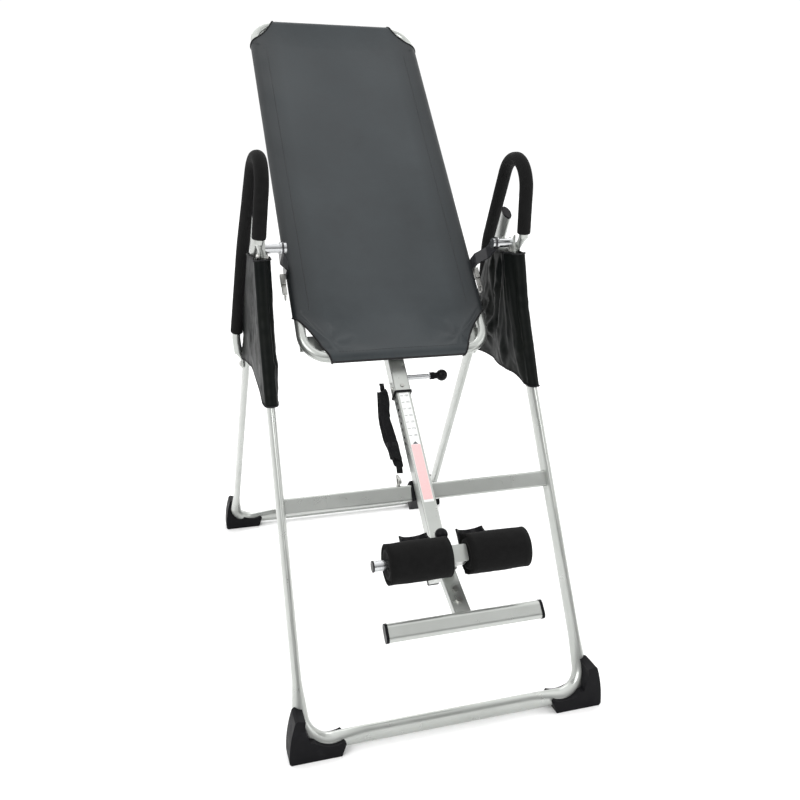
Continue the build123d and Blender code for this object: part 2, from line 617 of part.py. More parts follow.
# Fabric: a taut sheet over the loop that wraps each tube, with its corners cut away.
WRAP_OUT = 15.5
WRAP_IN = 12.8
CORNER_CUT = 78.0
STRAP_WIDTH = 40.0
STRAP_THICK = 4.0
STRAP_SEAT = 3.0
STRAP_SEAT_HALF = 62.0
UPPER_STRAP_S = 120.0
LOWER_STRAP_S = -180.0
ARM_S = 21.0
ARM_WIDTH = 30.0
ARM_IN = 243.5
ARM_THICK = 5.0
with BuildPart() as bed_fabric:
    with BuildSketch(bed_plane.offset(WRAP_IN)):
        with Locations((0, (BED_HIGH + BED_LOW) / 2)):
            Rectangle(2 * BED_CENTRE_HALF, BED_HIGH - BED_LOW)
    extrude(amount=WRAP_OUT - WRAP_IN)
    side_plane = Plane(origin=bed_origin, x_dir=(1, 0, 0), z_dir=-bed_up)
    for side in (-1, 1):
        with BuildSketch(side_plane.offset(-BED_HIGH)):
            with Locations((side * BED_CENTRE_HALF, 0)):
                Circle(WRAP_OUT)
                Circle(WRAP_IN, mode=Mode.SUBTRACT)
            with Locations((side * (BED_CENTRE_HALF - 20), 0)):
                Rectangle(40, 2 * WRAP_OUT, mode=Mode.SUBTRACT)
        extrude(amount=BED_HIGH - BED_LOW)
    end_plane = Plane(origin=bed_origin, x_dir=bed_up, z_dir=(1, 0, 0))
    for end_s, inward in ((BED_LOW, 20), (BED_HIGH, -20)):
        with BuildSketch(end_plane.offset(-BED_CENTRE_HALF)):
            with Locations((end_s, 0)):
                Circle(WRAP_OUT)
                Circle(WRAP_IN, mode=Mode.SUBTRACT)
            with Locations((end_s + inward, 0)):
                Rectangle(40, 2 * WRAP_OUT, mode=Mode.SUBTRACT)
        extrude(amount=2 * BED_CENTRE_HALF)
    with BuildSketch(bed_plane.offset(-WRAP_OUT - 2)):
        for side in (-1, 1):
            with Locations((side * BED_HALF, BED_FOOT), (side * BED_HALF, BED_HEAD)):
                Circle(CORNER_CUT)
    extrude(amount=2 * WRAP_OUT + 4, mode=Mode.SUBTRACT)
    with BuildSketch(bed_plane.offset(-WRAP_OUT - 2)):
        with Locations((0, UPPER_STRAP_S), (0, LOWER_STRAP_S)):
            Rectangle(2 * BED_HALF + 20, STRAP_WIDTH + 2)
    extrude(amount=WRAP_OUT + 2, mode=Mode.SUBTRACT)
    with BuildSketch(bed_plane.offset(-WRAP_OUT - 2)):
        for side in (-1, 1):
            with Locations((side * (ARM_IN + 10), ARM_S)):
                Rectangle(20.6, ARM_WIDTH + 8)
    extrude(amount=2 * WRAP_OUT + 4, mode=Mode.SUBTRACT)
save(bed_fabric, "bed_fabric")

# Beam: its section lies on the boom plane's x and y, and it runs up from the plane's origin.
BEAM_INSIDE = BEAM_SIZE - 2 * BEAM_WALL
BEAM_ROUND = 4.0
BEAM_ROUND_INSIDE = BEAM_ROUND - BEAM_WALL
PIN_ROD = 4.0
SCREW_RADIUS = 2.5
SCREW_HEAD = 5.0
pin_plane = Plane(origin=boom_point(0, 0, HEIGHT_PIN_U), x_dir=boom_down, z_dir=(1, 0, 0))
screw_plane = Plane(origin=boom_point(0, 0, -17), x_dir=boom_down, z_dir=(-1, 0, 0))
face_screw_plane = Plane(origin=boom_point(0, 0, -13), x_dir=boom_down, z_dir=boom_plane.y_dir)
with BuildPart() as beam:
    with BuildSketch(boom_plane.offset(-BEAM_LENGTH)):
        RectangleRounded(BEAM_SIZE, BEAM_SIZE, BEAM_ROUND)
        RectangleRounded(BEAM_INSIDE, BEAM_INSIDE, BEAM_ROUND_INSIDE, mode=Mode.SUBTRACT)
    extrude(amount=BEAM_LENGTH)
    with BuildSketch(pin_plane):
        Circle(PIN_ROD + 0.1)
    extrude(amount=BEAM_SIZE, mode=Mode.SUBTRACT)
    for plane in (screw_plane, face_screw_plane):
        with BuildSketch(plane):
            Circle(SCREW_RADIUS)
        extrude(amount=BEAM_SIZE, mode=Mode.SUBTRACT)
save(beam, "beam")

with BuildPart() as beam_cap:
    with BuildSketch(boom_plane.offset(-BEAM_LENGTH)):
        RectangleRounded(BEAM_SIZE, BEAM_SIZE, BEAM_ROUND)
    extrude(amount=-4)
    with BuildSketch(boom_plane.offset(-BEAM_LENGTH)):
        RectangleRounded(BEAM_INSIDE, BEAM_INSIDE, BEAM_ROUND_INSIDE)
    extrude(amount=12)
save(beam_cap, "beam_cap")

BUSHING_IN = BOOM_SIZE + 0.1
BUSHING_FLANGE = 44.0
BUSHING_LENGTH = 70.0
BUSHING_RIM = 4.0
SCALE_WIDE = 24.0
SCALE_RELIEF = 0.5
with BuildPart() as beam_bushing:
    with BuildSketch(boom_plane.offset(-BUSHING_LENGTH)):
        RectangleRounded(BEAM_INSIDE, BEAM_INSIDE, BEAM_ROUND_INSIDE)
    extrude(amount=BUSHING_LENGTH)
    with BuildSketch(boom_plane):
        RectangleRounded(BUSHING_FLANGE, BUSHING_FLANGE, BEAM_ROUND + 1)
    extrude(amount=BUSHING_RIM)
    with BuildSketch(boom_plane.offset(-BUSHING_LENGTH)):
        RectangleRounded(BUSHING_IN, BUSHING_IN, 2)
    extrude(amount=BUSHING_LENGTH + BUSHING_RIM, mode=Mode.SUBTRACT)
    with BuildSketch(boom_plane.offset(-BUSHING_LENGTH)):
        with Locations((0, BOOM_SIZE / 2)):
            Rectangle(SCALE_WIDE + 1, 2 * SCALE_RELIEF)
    extrude(amount=BUSHING_LENGTH + BUSHING_RIM, mode=Mode.SUBTRACT)
    with BuildSketch(pin_plane):
        Circle(PIN_ROD + 0.1)
    extrude(amount=BEAM_SIZE, mode=Mode.SUBTRACT)
    for plane in (screw_plane, face_screw_plane):
        with BuildSketch(plane):
            Circle(SCREW_RADIUS)
        extrude(amount=BEAM_SIZE, mode=Mode.SUBTRACT)
save(beam_bushing, "beam_bushing")

with BuildPart() as bushing_screws:
    for plane in (screw_plane, face_screw_plane):
        with BuildSketch(plane.offset(BEAM_SIZE / 2)):
            Circle(SCREW_HEAD)
        extrude(amount=3, taper=20)
        with BuildSketch(plane.offset(BEAM_SIZE / 2)):
            Circle(SCREW_RADIUS)
        extrude(amount=-1.9)
save(bushing_screws, "bushing_screws")


def beam_top_n(s):
    """Height above the bed plane of the beam's upper face at a place up the backrest."""
    run = (BEAM_END_S - s) / math.cos(tilt)
    centre = BEAM_END_N + run * math.sin(tilt)
    return centre + BEAM_SIZE / 2 / math.cos(tilt)


def bed_strap(s):
    """Bent flat strap from one side tube down to the top of the beam and up to the other."""
    outer = BED_CENTRE_HALF + 6
    shoulder = BED_CENTRE_HALF - 30
    under_tube = 0.3 - BED_TUBE
    under_strap = under_tube - STRAP_THICK
    seat_low = beam_top_n(s + STRAP_WIDTH / 2) - 0.3
    seat_top = beam_top_n(s - STRAP_WIDTH / 2) + STRAP_SEAT
    with BuildPart() as strap:
        with BuildSketch(Plane(origin=bed_point(0, s, 0), x_dir=(1, 0, 0), z_dir=-bed_up)):
            with BuildLine():
                Polyline(
                    (-outer, under_tube), (-shoulder, under_tube), (-STRAP_SEAT_HALF, seat_top),
                    (STRAP_SEAT_HALF, seat_top), (shoulder, under_tube), (outer, under_tube),
                    (outer, under_strap), (shoulder - 2, under_strap), (STRAP_SEAT_HALF - 2, seat_low),
                    (2 - STRAP_SEAT_HALF, seat_low), (2 - shoulder, under_strap), (-outer, under_strap),
                    close=True,
                )
            make_face()
        extrude(amount=STRAP_WIDTH / 2, both=True)
        add(bed_tube.part, mode=Mode.SUBTRACT)
        add(beam.part, mode=Mode.SUBTRACT)
    return keep_largest(strap)


save(bed_strap(UPPER_STRAP_S), "upper_bed_strap")
save(bed_strap(LOWER_STRAP_S), "lower_bed_strap")


# ---- pivot arms, pivot shafts and locks ----
ARM_TOP_X = 264.0
ARM_BOTTOM = -17.0
arm_run = (bed_normal * PIVOT_RISE - bed_up * ARM_S).normalized()
arm_base = bed_point(0, ARM_S, 0)
arm_length = math.hypot(PIVOT_RISE, ARM_S)
arm_plane = Plane(origin=arm_base, x_dir=(1, 0, 0), z_dir=Vector(1, 0, 0).cross(arm_run))
with BuildPart() as pivot_arm:
    with BuildSketch(arm_plane):
        with BuildLine():
            FilletPolyline(
                (ARM_IN, ARM_BOTTOM), (ARM_IN, 40), (ARM_TOP_X, 76), (ARM_TOP_X, arm_length + ARM_WIDTH / 2),
                radius=10,
            )
            FilletPolyline(
                (ARM_IN + ARM_THICK, ARM_BOTTOM), (ARM_IN + ARM_THICK, 38), (ARM_TOP_X + ARM_THICK, 74),
                (ARM_TOP_X + ARM_THICK, arm_length + ARM_WIDTH / 2), radius=10,
            )
            Line((ARM_IN, ARM_BOTTOM), (ARM_IN + ARM_THICK, ARM_BOTTOM))
            Line((ARM_TOP_X, arm_length + ARM_WIDTH / 2), (ARM_TOP_X + ARM_THICK, arm_length + ARM_WIDTH / 2))
        make_face()
    extrude(amount=ARM_WIDTH / 2, both=True)
    across_arm = Plane(origin=arm_base, x_dir=-arm_plane.z_dir, z_dir=(1, 0, 0))
    with BuildSketch(across_arm.offset(ARM_TOP_X - 20)):
        with Locations((0, arm_length + ARM_WIDTH / 2)):
            Rectangle(60, ARM_WIDTH)
        with Locations((0, arm_length)):
            Circle(ARM_WIDTH / 2, mode=Mode.SUBTRACT)
    extrude(amount=60, mode=Mode.SUBTRACT)
    with BuildSketch(across_arm.offset(ARM_IN - 20)):
        with Locations((0, arm_length)):
            Circle(PIN_RADIUS)
    extrude(amount=80, mode=Mode.SUBTRACT)
    add(bed_tube.part, mode=Mode.SUBTRACT)
save_both(keep_largest(pivot_arm), "pivot_arms")

with BuildPart() as pivot_shaft:
    pivot_side = Plane(origin=(0, PIVOT_Y, PIVOT_Z), x_dir=(0, 1, 0), z_dir=(1, 0, 0))
    with BuildSketch(pivot_side.offset(ARM_TOP_X)):
        Circle(PIN_RADIUS)
    extrude(amount=CRADLE_X + CRADLE_THICK - ARM_TOP_X)
    with BuildSketch(pivot_side.offset(ARM_TOP_X - 6)):
        Circle(13)
    extrude(amount=6)
    with BuildSketch(pivot_side.offset(ARM_TOP_X + ARM_THICK)):
        Circle(14.5)
    extrude(amount=4)
    chamfer(pivot_shaft.faces().sort_by(Axis.X)[-1].edges(), 1)
save_both(pivot_shaft, "pivot_shafts")

LOCK_X = 255.0
LOCK_HALF = 6.5
LOCK_TOP_S = 10.0
LOCK_LENGTH = 30.0
LOCK_ROD = 3.0
LOCK_TRAVEL = 8.0
lock_side = Plane(origin=bed_point(LOCK_X, 0, 0), x_dir=(1, 0, 0), z_dir=-bed_up)
with BuildPart() as lock_housing:
    with BuildSketch(lock_side.offset(-LOCK_TOP_S)):
        RectangleRounded(2 * LOCK_HALF, 2 * LOCK_HALF, 2)
        Circle(LOCK_ROD + PIN_FIT, mode=Mode.SUBTRACT)
    extrude(amount=LOCK_LENGTH)
save_both(lock_housing, "lock_housings")

with BuildPart() as lock_pin:
    with BuildSketch(lock_side.offset(-LOCK_TOP_S + 10)):
        Circle(LOCK_ROD)
    extrude(amount=LOCK_LENGTH - 10 + 2)
    lock_end = LOCK_LENGTH - LOCK_TOP_S
    with BuildSketch(lock_side.offset(lock_end + 0.5)):
        RectangleRounded(12, 5, 1.5)
    extrude(amount=26)
    with BuildSketch(Plane(origin=bed_point(LOCK_X, -lock_end - 33, 0), x_dir=bed_up, z_dir=(1, 0, 0))):
        Circle(10)
        Circle(7.4, mode=Mode.SUBTRACT)
    extrude(amount=1.3, both=True)
save_pair(lock_pin, "lock_pin")


# =====================================================================================
# Boom, its height scale and pull pin, and the post that carries the footrest.
# =====================================================================================
HOLES_INSIDE = 4
HOLES_OUTSIDE = 10
with BuildPart() as boom:
    with BuildSketch(boom_plane.offset(-BOOM_INSIDE)):
        RectangleRounded(BOOM_SIZE, BOOM_SIZE, 3)
        RectangleRounded(BOOM_SIZE - 2 * BOOM_WALL, BOOM_SIZE - 2 * BOOM_WALL, 1, mode=Mode.SUBTRACT)
    extrude(amount=BOOM_INSIDE + BOOM_OUT)
    with BuildSketch(Plane(origin=boom_point(0, 0, HEIGHT_PIN_U), x_dir=boom_down, z_dir=(1, 0, 0))):
        for step in range(-HOLES_INSIDE, HOLES_OUTSIDE + 1):
            with Locations((step * HOLE_PITCH, 0)):
                Circle(HOLE_RADIUS)
    extrude(amount=BOOM_SIZE, both=True, mode=Mode.SUBTRACT)
save(boom, "boom")

SCALE_TOP = 6.0
SCALE_LOW = 292.0
with BuildPart() as height_scale:
    with BuildSketch(Plane(origin=boom_point(0, BOOM_SIZE / 2, 0), x_dir=(1, 0, 0), z_dir=boom_plane.y_dir)):
        with Locations((0, -(SCALE_TOP + SCALE_LOW) / 2)):
            Rectangle(SCALE_WIDE, SCALE_LOW - SCALE_TOP)
    extrude(amount=0.3)
save(height_scale, "height_scale")

HEIGHT_NOSE = BOOM_SIZE / 2 + 0.4
HEIGHT_TUBE_RADIUS = 7.0
HEIGHT_TUBE_LENGTH = 57.0
SPRING_RADIUS = 5.5
SPRING_LENGTH = 12.0
COLLAR_RADIUS = 7.5
COLLAR_LENGTH = 12.0
COLLAR_GAP = 5.0
HEIGHT_ROD_END = 100.0
HEIGHT_KNOB_X = 114.0
NECK_RADIUS = 8.0
NECK_START = 95.5
with BuildPart() as height_pin_housing:
    with BuildSketch(pin_plane.offset(BEAM_SIZE / 2)):
        Circle(HEIGHT_TUBE_RADIUS + 1.5)
    extrude(amount=4)
    with BuildSketch(pin_plane.offset(BEAM_SIZE / 2)):
        Circle(HEIGHT_TUBE_RADIUS)
    extrude(amount=HEIGHT_TUBE_LENGTH)
    with BuildSketch(pin_plane.offset(BEAM_SIZE / 2)):
        Circle(PIN_ROD + PIN_FIT)
    extrude(amount=HEIGHT_TUBE_LENGTH, mode=Mode.SUBTRACT)
    with BuildSketch(pin_plane.offset(BEAM_SIZE / 2 + HEIGHT_TUBE_LENGTH - SPRING_LENGTH)):
        Circle(SPRING_RADIUS)
    extrude(amount=SPRING_LENGTH, mode=Mode.SUBTRACT)
save(height_pin_housing, "height_pin_housing")

with BuildPart() as height_pin_rod:
    with BuildSketch(pin_plane.offset(HEIGHT_NOSE)):
        Circle(PIN_ROD)
    extrude(amount=HEIGHT_ROD_END - HEIGHT_NOSE)
    with BuildSketch(pin_plane.offset(BEAM_SIZE / 2 + HEIGHT_TUBE_LENGTH + COLLAR_GAP)):
        Circle(COLLAR_RADIUS)
    extrude(amount=COLLAR_LENGTH)
save(height_pin_rod, "height_pin_rod")

collar_end = BEAM_SIZE / 2 + HEIGHT_TUBE_LENGTH + COLLAR_GAP + COLLAR_LENGTH
with BuildPart() as height_pin_knob:
    with BuildSketch(Plane(origin=pin_plane.origin, x_dir=(1, 0, 0), z_dir=boom_plane.y_dir)):
        with Locations((HEIGHT_KNOB_X, 0)):
            Circle(KNOB_RADIUS)
        with Locations(((NECK_START + HEIGHT_KNOB_X) / 2, 0)):
            Rectangle(HEIGHT_KNOB_X - NECK_START, 2 * NECK_RADIUS)
        with Locations((HEIGHT_KNOB_X, KNOB_RADIUS)):
            Rectangle(6 * KNOB_RADIUS, 2 * KNOB_RADIUS, mode=Mode.SUBTRACT)
    revolve(axis=Axis(pin_plane.origin, (1, 0, 0)))
    with BuildSketch(pin_plane.offset(collar_end)):
        Circle(PIN_ROD)
    extrude(amount=HEIGHT_ROD_END - collar_end, mode=Mode.SUBTRACT)
save(keep_largest(height_pin_knob), "height_pin_knob")

with BuildPart() as boom_solid:
    with BuildSketch(boom_plane.offset(-BOOM_INSIDE)):
        RectangleRounded(BOOM_SIZE, BOOM_SIZE, 3)
    extrude(amount=BOOM_INSIDE + BOOM_OUT)

POST_S = -788.2
POST_N = 15.9
POST_START = -95.0
POST_FINISH = 108.0
POST_TILT = 24.565
POST_WIDE = 36.0
POST_DEEP = 20.0
post_angle = math.radians(POST_TILT)
post_run = bed_normal * math.sin(post_angle) - bed_up * math.cos(post_angle)
post_plane = Plane(origin=bed_point(0, POST_S, POST_N), x_dir=(1, 0, 0), z_dir=post_run)
BAR_S = -888.0
BAR_N = 65.0
FOOT_BAR_HALF = 165.0
FOOT_BAR_WALL = 3.0
FOOT_BAR_TALL = 38.0
FOOT_BAR_DEEP = 20.0
FOOT_BAR_ROUND = 9.9
SLEEVE_LOW = -60.0
SLEEVE_HIGH = 40.0
foot_bar_bore = (
    FOOT_BAR_TALL - 2 * FOOT_BAR_WALL, FOOT_BAR_DEEP - 2 * FOOT_BAR_WALL, FOOT_BAR_ROUND - FOOT_BAR_WALL,
)
foot_bar_plane = Plane(origin=bed_point(0, BAR_S, BAR_N), x_dir=bed_up, z_dir=(1, 0, 0))
clamp_plane = Plane(origin=bed_point(0, CLAMP_S, 0), x_dir=(1, 0, 0), z_dir=bed_normal)
clamp_pin_plane = Plane(origin=bed_point(0, CLAMP_S, 28), x_dir=(1, 0, 0), z_dir=bed_up)
with BuildPart() as post:
    with BuildSketch(post_plane.offset(POST_START)):
        RectangleRounded(POST_WIDE, POST_DEEP, 3)
    extrude(amount=POST_FINISH - POST_START)
    add(boom_solid.part, mode=Mode.SUBTRACT)
    with BuildSketch(foot_bar_plane.offset(-30)):
        RectangleRounded(FOOT_BAR_TALL, FOOT_BAR_DEEP, FOOT_BAR_ROUND)
    extrude(amount=60, mode=Mode.SUBTRACT)
    with BuildSketch(clamp_plane.offset(SLEEVE_LOW)):
        RectangleRounded(SLEEVE_SIZE, SLEEVE_SIZE, 3)
    extrude(amount=SLEEVE_HIGH - SLEEVE_LOW, mode=Mode.SUBTRACT)
save(keep_largest(post), "post")

with BuildPart() as post_bolts:
    for down in (37, 65):
        bolt_base = post_plane.from_local_coords((0, POST_DEEP / 2, down))
        with BuildSketch(Plane(origin=bolt_base, x_dir=(1, 0, 0), z_dir=post_plane.y_dir)):
            RegularPolygon(NUT_HALF, 6, major_radius=False)
        extrude(amount=5)
save(post_bolts, "post_bolts")

with BuildPart() as footrest_bar:
    with BuildSketch(foot_bar_plane.offset(-FOOT_BAR_HALF)):
        RectangleRounded(FOOT_BAR_TALL, FOOT_BAR_DEEP, FOOT_BAR_ROUND)
        RectangleRounded(*foot_bar_bore, mode=Mode.SUBTRACT)
    extrude(amount=2 * FOOT_BAR_HALF)
save(footrest_bar, "footrest_bar")

with BuildPart() as footrest_cap:
    with BuildSketch(foot_bar_plane.offset(FOOT_BAR_HALF)):
        RectangleRounded(FOOT_BAR_TALL + 2, FOOT_BAR_DEEP + 2, FOOT_BAR_ROUND + 1)
    extrude(amount=6)
    with BuildSketch(foot_bar_plane.offset(FOOT_BAR_HALF)):
        RectangleRounded(*foot_bar_bore)
    extrude(amount=-15)
save_both(footrest_cap, "footrest_caps")


# =====================================================================================
# Ankle clamp: fixed cups on the post, a stem that slides in its sleeve, and two rollers.
# =====================================================================================
with BuildPart() as clamp_sleeve:
    with BuildSketch(clamp_plane.offset(SLEEVE_LOW)):
        RectangleRounded(SLEEVE_SIZE, SLEEVE_SIZE, 3)
        RectangleRounded(STEM_SIZE + 0.1, STEM_SIZE + 0.1, 1.5, mode=Mode.SUBTRACT)
    extrude(amount=SLEEVE_HIGH - SLEEVE_LOW)
    with BuildSketch(clamp_pin_plane):
        Circle(PIN_ROD + 0.1)
    extrude(amount=SLEEVE_SIZE, mode=Mode.SUBTRACT)
save(clamp_sleeve, "clamp_sleeve")

STEM_LOW = -100.0
STEM_HIGH = 82.0
STEM_PITCH = 12.5
HEAD_TALL = 36.0
axle_plane = Plane(origin=bed_point(0, CLAMP_S, AXLE_N), x_dir=(0, 1, 0), z_dir=(1, 0, 0))
with BuildPart() as clamp_stem:
    with BuildSketch(clamp_plane.offset(STEM_LOW)):
        RectangleRounded(STEM_SIZE, STEM_SIZE, 1.5)
    extrude(amount=STEM_HIGH - STEM_LOW)
    with BuildSketch(clamp_plane.offset(STEM_HIGH)):
        RectangleRounded(HEAD_TALL, HEAD_TALL, 4)
    extrude(amount=HEAD_TALL)
    with BuildSketch(clamp_pin_plane.offset(STEM_SIZE / 2)):
        for step in range(-3, 2):
            with Locations((0, step * STEM_PITCH)):
                Circle(HOLE_RADIUS)
    extrude(amount=-8, mode=Mode.SUBTRACT)
    with BuildSketch(axle_plane.offset(-30)):
        Circle(AXLE_RADIUS)
    extrude(amount=60, mode=Mode.SUBTRACT)
save(clamp_stem, "clamp_stem")

with BuildPart() as stem_cap:
    with BuildSketch(clamp_plane.offset(STEM_LOW)):
        RectangleRounded(STEM_SIZE + 2, STEM_SIZE + 2, 3)
    extrude(amount=-6)
save(stem_cap, "stem_cap")

AXLE_LEFT = -178.0
AXLE_RIGHT = 160.0
with BuildPart() as roller_axle:
    with BuildSketch(axle_plane.offset(AXLE_LEFT)):
        Circle(AXLE_RADIUS)
        Circle(AXLE_RADIUS - 3, mode=Mode.SUBTRACT)
    extrude(amount=AXLE_RIGHT - AXLE_LEFT)
save(roller_axle, "roller_axle")

with BuildPart() as axle_caps:
    for end, outward in ((AXLE_LEFT, -1), (AXLE_RIGHT, 1)):
        with BuildSketch(axle_plane.offset(end)):
            Circle(AXLE_RADIUS + 1)
        extrude(amount=outward * 3)
        with BuildSketch(axle_plane.offset(end)):
            Circle(AXLE_RADIUS - 3)
        extrude(amount=-outward * 12)
save(axle_caps, "axle_caps")

HUB_MIDDLE = 21.0
HUB_DEEP = 3.0
HUB_WIDE = 14.0
for side, name in ((-1, "left"), (1, "right")):
    with BuildPart() as roller:
        with BuildSketch(Plane(origin=axle_plane.origin, x_dir=(1, 0, 0), z_dir=bed_up)):
            with Locations((side * (ROLLER_IN + ROLLER_OUT) / 2, ROLLER_RADIUS / 2)):
                Rectangle(ROLLER_OUT - ROLLER_IN, ROLLER_RADIUS)
            for end_x in (side * ROLLER_IN, side * ROLLER_OUT):
                with Locations((end_x, HUB_MIDDLE)):
                    Rectangle(2 * HUB_DEEP, HUB_WIDE, mode=Mode.SUBTRACT)
        revolve(axis=Axis(axle_plane.origin, (1, 0, 0)))
        rims = roller.edges().filter_by(GeomType.CIRCLE).sort_by(lambda edge: edge.radius)[-2:]
        fillet(rims, 6)
        with BuildSketch(axle_plane):
            Circle(AXLE_RADIUS + PIN_FIT)
        extrude(amount=2 * ROLLER_OUT, both=True, mode=Mode.SUBTRACT)
    save(roller, f"ankle_roller_{name}")

# Pull pin on the clamp's sleeve, pointing up towards the boom.
COLLAR_START = 23.0
CLAMP_NOSE = STEM_SIZE / 2 + 0.4
CLAMP_ROD_END = 58.0
CLAMP_KNOB_S = 66.0
CLAMP_NECK_S = 51.0
with BuildPart() as clamp_pin_housing:
    with BuildSketch(clamp_pin_plane.offset(SLEEVE_SIZE / 2)):
        Circle(8)
        Circle(PIN_ROD + PIN_FIT, mode=Mode.SUBTRACT)
    extrude(amount=COLLAR_START)
save(clamp_pin_housing, "clamp_pin_housing")

with BuildPart() as clamp_pin_rod:
    with BuildSketch(clamp_pin_plane.offset(CLAMP_NOSE)):
        Circle(PIN_ROD)
    extrude(amount=CLAMP_ROD_END - CLAMP_NOSE)
    with BuildSketch(clamp_pin_plane.offset(SLEEVE_SIZE / 2 + COLLAR_START + 4.5)):
        Circle(COLLAR_RADIUS - 1)
    extrude(amount=COLLAR_LENGTH / 2)
save(clamp_pin_rod, "clamp_pin_rod")

with BuildPart() as clamp_pin_knob:
    with BuildSketch(Plane(origin=clamp_pin_plane.origin, x_dir=bed_up, z_dir=(1, 0, 0))):
        with Locations((CLAMP_KNOB_S, 0)):
            Circle(KNOB_RADIUS)
        with Locations((CLAMP_NECK_S, 0)):
            Rectangle(5, 2 * NECK_RADIUS - 2)
        with Locations((CLAMP_KNOB_S, KNOB_RADIUS)):
            Rectangle(6 * KNOB_RADIUS, 2 * KNOB_RADIUS, mode=Mode.SUBTRACT)
    revolve(axis=Axis(clamp_pin_plane.origin, bed_up))
    with BuildSketch(clamp_pin_plane.offset(CLAMP_NECK_S - 6)):
        Circle(PIN_ROD)
    extrude(amount=CLAMP_ROD_END - CLAMP_NECK_S + 6, mode=Mode.SUBTRACT)
save(keep_largest(clamp_pin_knob), "clamp_pin_knob")

# Fixed bar and the two heel cups on it.
ANKLE_BAR_S = -725.0
CUP_X = 64.5
CUP_N = 43.0
CUP_OUTER = 34.0
CUP_INNER = 30.0
CUP_HIGH_S = -686.0
CUP_LOW_S = -785.0
with BuildPart() as ankle_bar:
    with BuildSketch(Plane(origin=bed_point(0, ANKLE_BAR_S, 0), x_dir=(1, 0, 0), z_dir=-bed_up)):
        with Locations((0, 4)):
            RectangleRounded(150, 8, 2)
        with Locations((0, -3)):
            Rectangle(36, 14)
    extrude(amount=10, both=True)
    add(post.part, mode=Mode.SUBTRACT)
    with BuildSketch(clamp_pin_plane):
        Circle(9)
    extrude(amount=60, mode=Mode.SUBTRACT)
    with BuildSketch(clamp_plane.offset(SLEEVE_LOW)):
        RectangleRounded(SLEEVE_SIZE + 1, SLEEVE_SIZE + 1, 3)
    extrude(amount=SLEEVE_HIGH - SLEEVE_LOW, mode=Mode.SUBTRACT)
ankle_bar_piece = keep_largest(ankle_bar)
save(ankle_bar_piece, "ankle_bar")

with BuildPart() as ankle_cup:
    cup_plane = Plane(origin=bed_point(CUP_X, CUP_HIGH_S, CUP_N), x_dir=(1, 0, 0), z_dir=-bed_up)
    with BuildSketch(cup_plane):
        Circle(CUP_OUTER)
        Circle(CUP_INNER, mode=Mode.SUBTRACT)
        with Locations((0, CUP_OUTER / 2)):
            Rectangle(2 * CUP_OUTER + 2, CUP_OUTER, mode=Mode.SUBTRACT)
    extrude(amount=CUP_HIGH_S - CUP_LOW_S)
    with BuildSketch(Plane(origin=bed_point(CUP_X, 0, CUP_N + 4), x_dir=bed_up, z_dir=(1, 0, 0))):
        for end_s in (CUP_LOW_S, CUP_HIGH_S):
            with Locations((end_s, 0)):
                Circle(16)
    extrude(amount=CUP_OUTER + 2, both=True, mode=Mode.SUBTRACT)
    with BuildSketch(Plane(origin=bed_point(CUP_X, ANKLE_BAR_S, 6), x_dir=(1, 0, 0), z_dir=bed_normal)):
        Rectangle(20, 18)
    extrude(amount=7)
    add(ankle_bar_piece.part, mode=Mode.SUBTRACT)
save_both(keep_largest(ankle_cup), "ankle_cups")


# =====================================================================================
# Tether strap: a folded bundle that hangs along the back of the boom and hooks the ring.
# =====================================================================================
TETHER_TOP_S = -262.0
TETHER_TOP_N = -90.0
TETHER_LOW_S = -506.0
TETHER_LOW_N = -82.0
tether_top = bed_point(0, TETHER_TOP_S, TETHER_TOP_N)
tether_low = bed_point(0, TETHER_LOW_S, TETHER_LOW_N)
tether_length = (tether_low - tether_top).length
tether_plane = Plane(origin=tether_top, x_dir=(1, 0, 0), z_dir=(tether_low - tether_top).normalized())
# Along the bundle: fraction of its length, X of its middle, width and depth.
TETHER_SECTIONS = (
    (0, -37, 26, 8), (0.2, -41, 34, 28), (0.5, -41, 34, 34), (0.75, -38, 26, 24), (1, -34, 16, 6),
)
TETHER_EYE = 4.0
TETHER_EYE_X = (-50.0, -24.0)
with BuildPart() as tether_strap:
    bundle = []
    for fraction, middle_x, wide, deep in TETHER_SECTIONS:
        with BuildSketch(tether_plane.offset(fraction * tether_length)) as slice_sketch:
            with Locations((middle_x, 0)):
                RectangleRounded(wide, deep, 2.9)
        bundle.append(slice_sketch.sketch)
    loft(sections=bundle)
    with BuildSketch(Plane(origin=tether_top, x_dir=bed_up, z_dir=(1, 0, 0)).offset(TETHER_EYE_X[0])) as eye:
        Circle(TETHER_EYE)
    extrude(eye.sketch, amount=TETHER_EYE_X[1] - TETHER_EYE_X[0])
save(tether_strap, "tether_strap")

# Snap hook that stays clipped beside the ring.
ring_centre = ring_foot + Vector(0, 0, RING_RADIUS + 3)
hook_low = ring_centre + Vector(RING_WIRE + 2.6, 0, 0)
hook_plane = Plane(origin=hook_low, x_dir=(tether_low - ring_centre).normalized(), z_dir=(1, 0, 0))
HOOK_LENGTH = 24.0
with BuildPart() as tether_hook:
    with BuildSketch(hook_plane):
        with Locations((HOOK_LENGTH / 2, 0)):
            SlotCenterToCenter(HOOK_LENGTH, 12)
            SlotCenterToCenter(HOOK_LENGTH - 2, 6, mode=Mode.SUBTRACT)
    extrude(amount=2, both=True)
save(tether_hook, "tether_hook")
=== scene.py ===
import json
import math
import random
import bmesh
import bpy
from mathutils import Matrix, Vector, noise
from mathutils.bvhtree import BVHTree


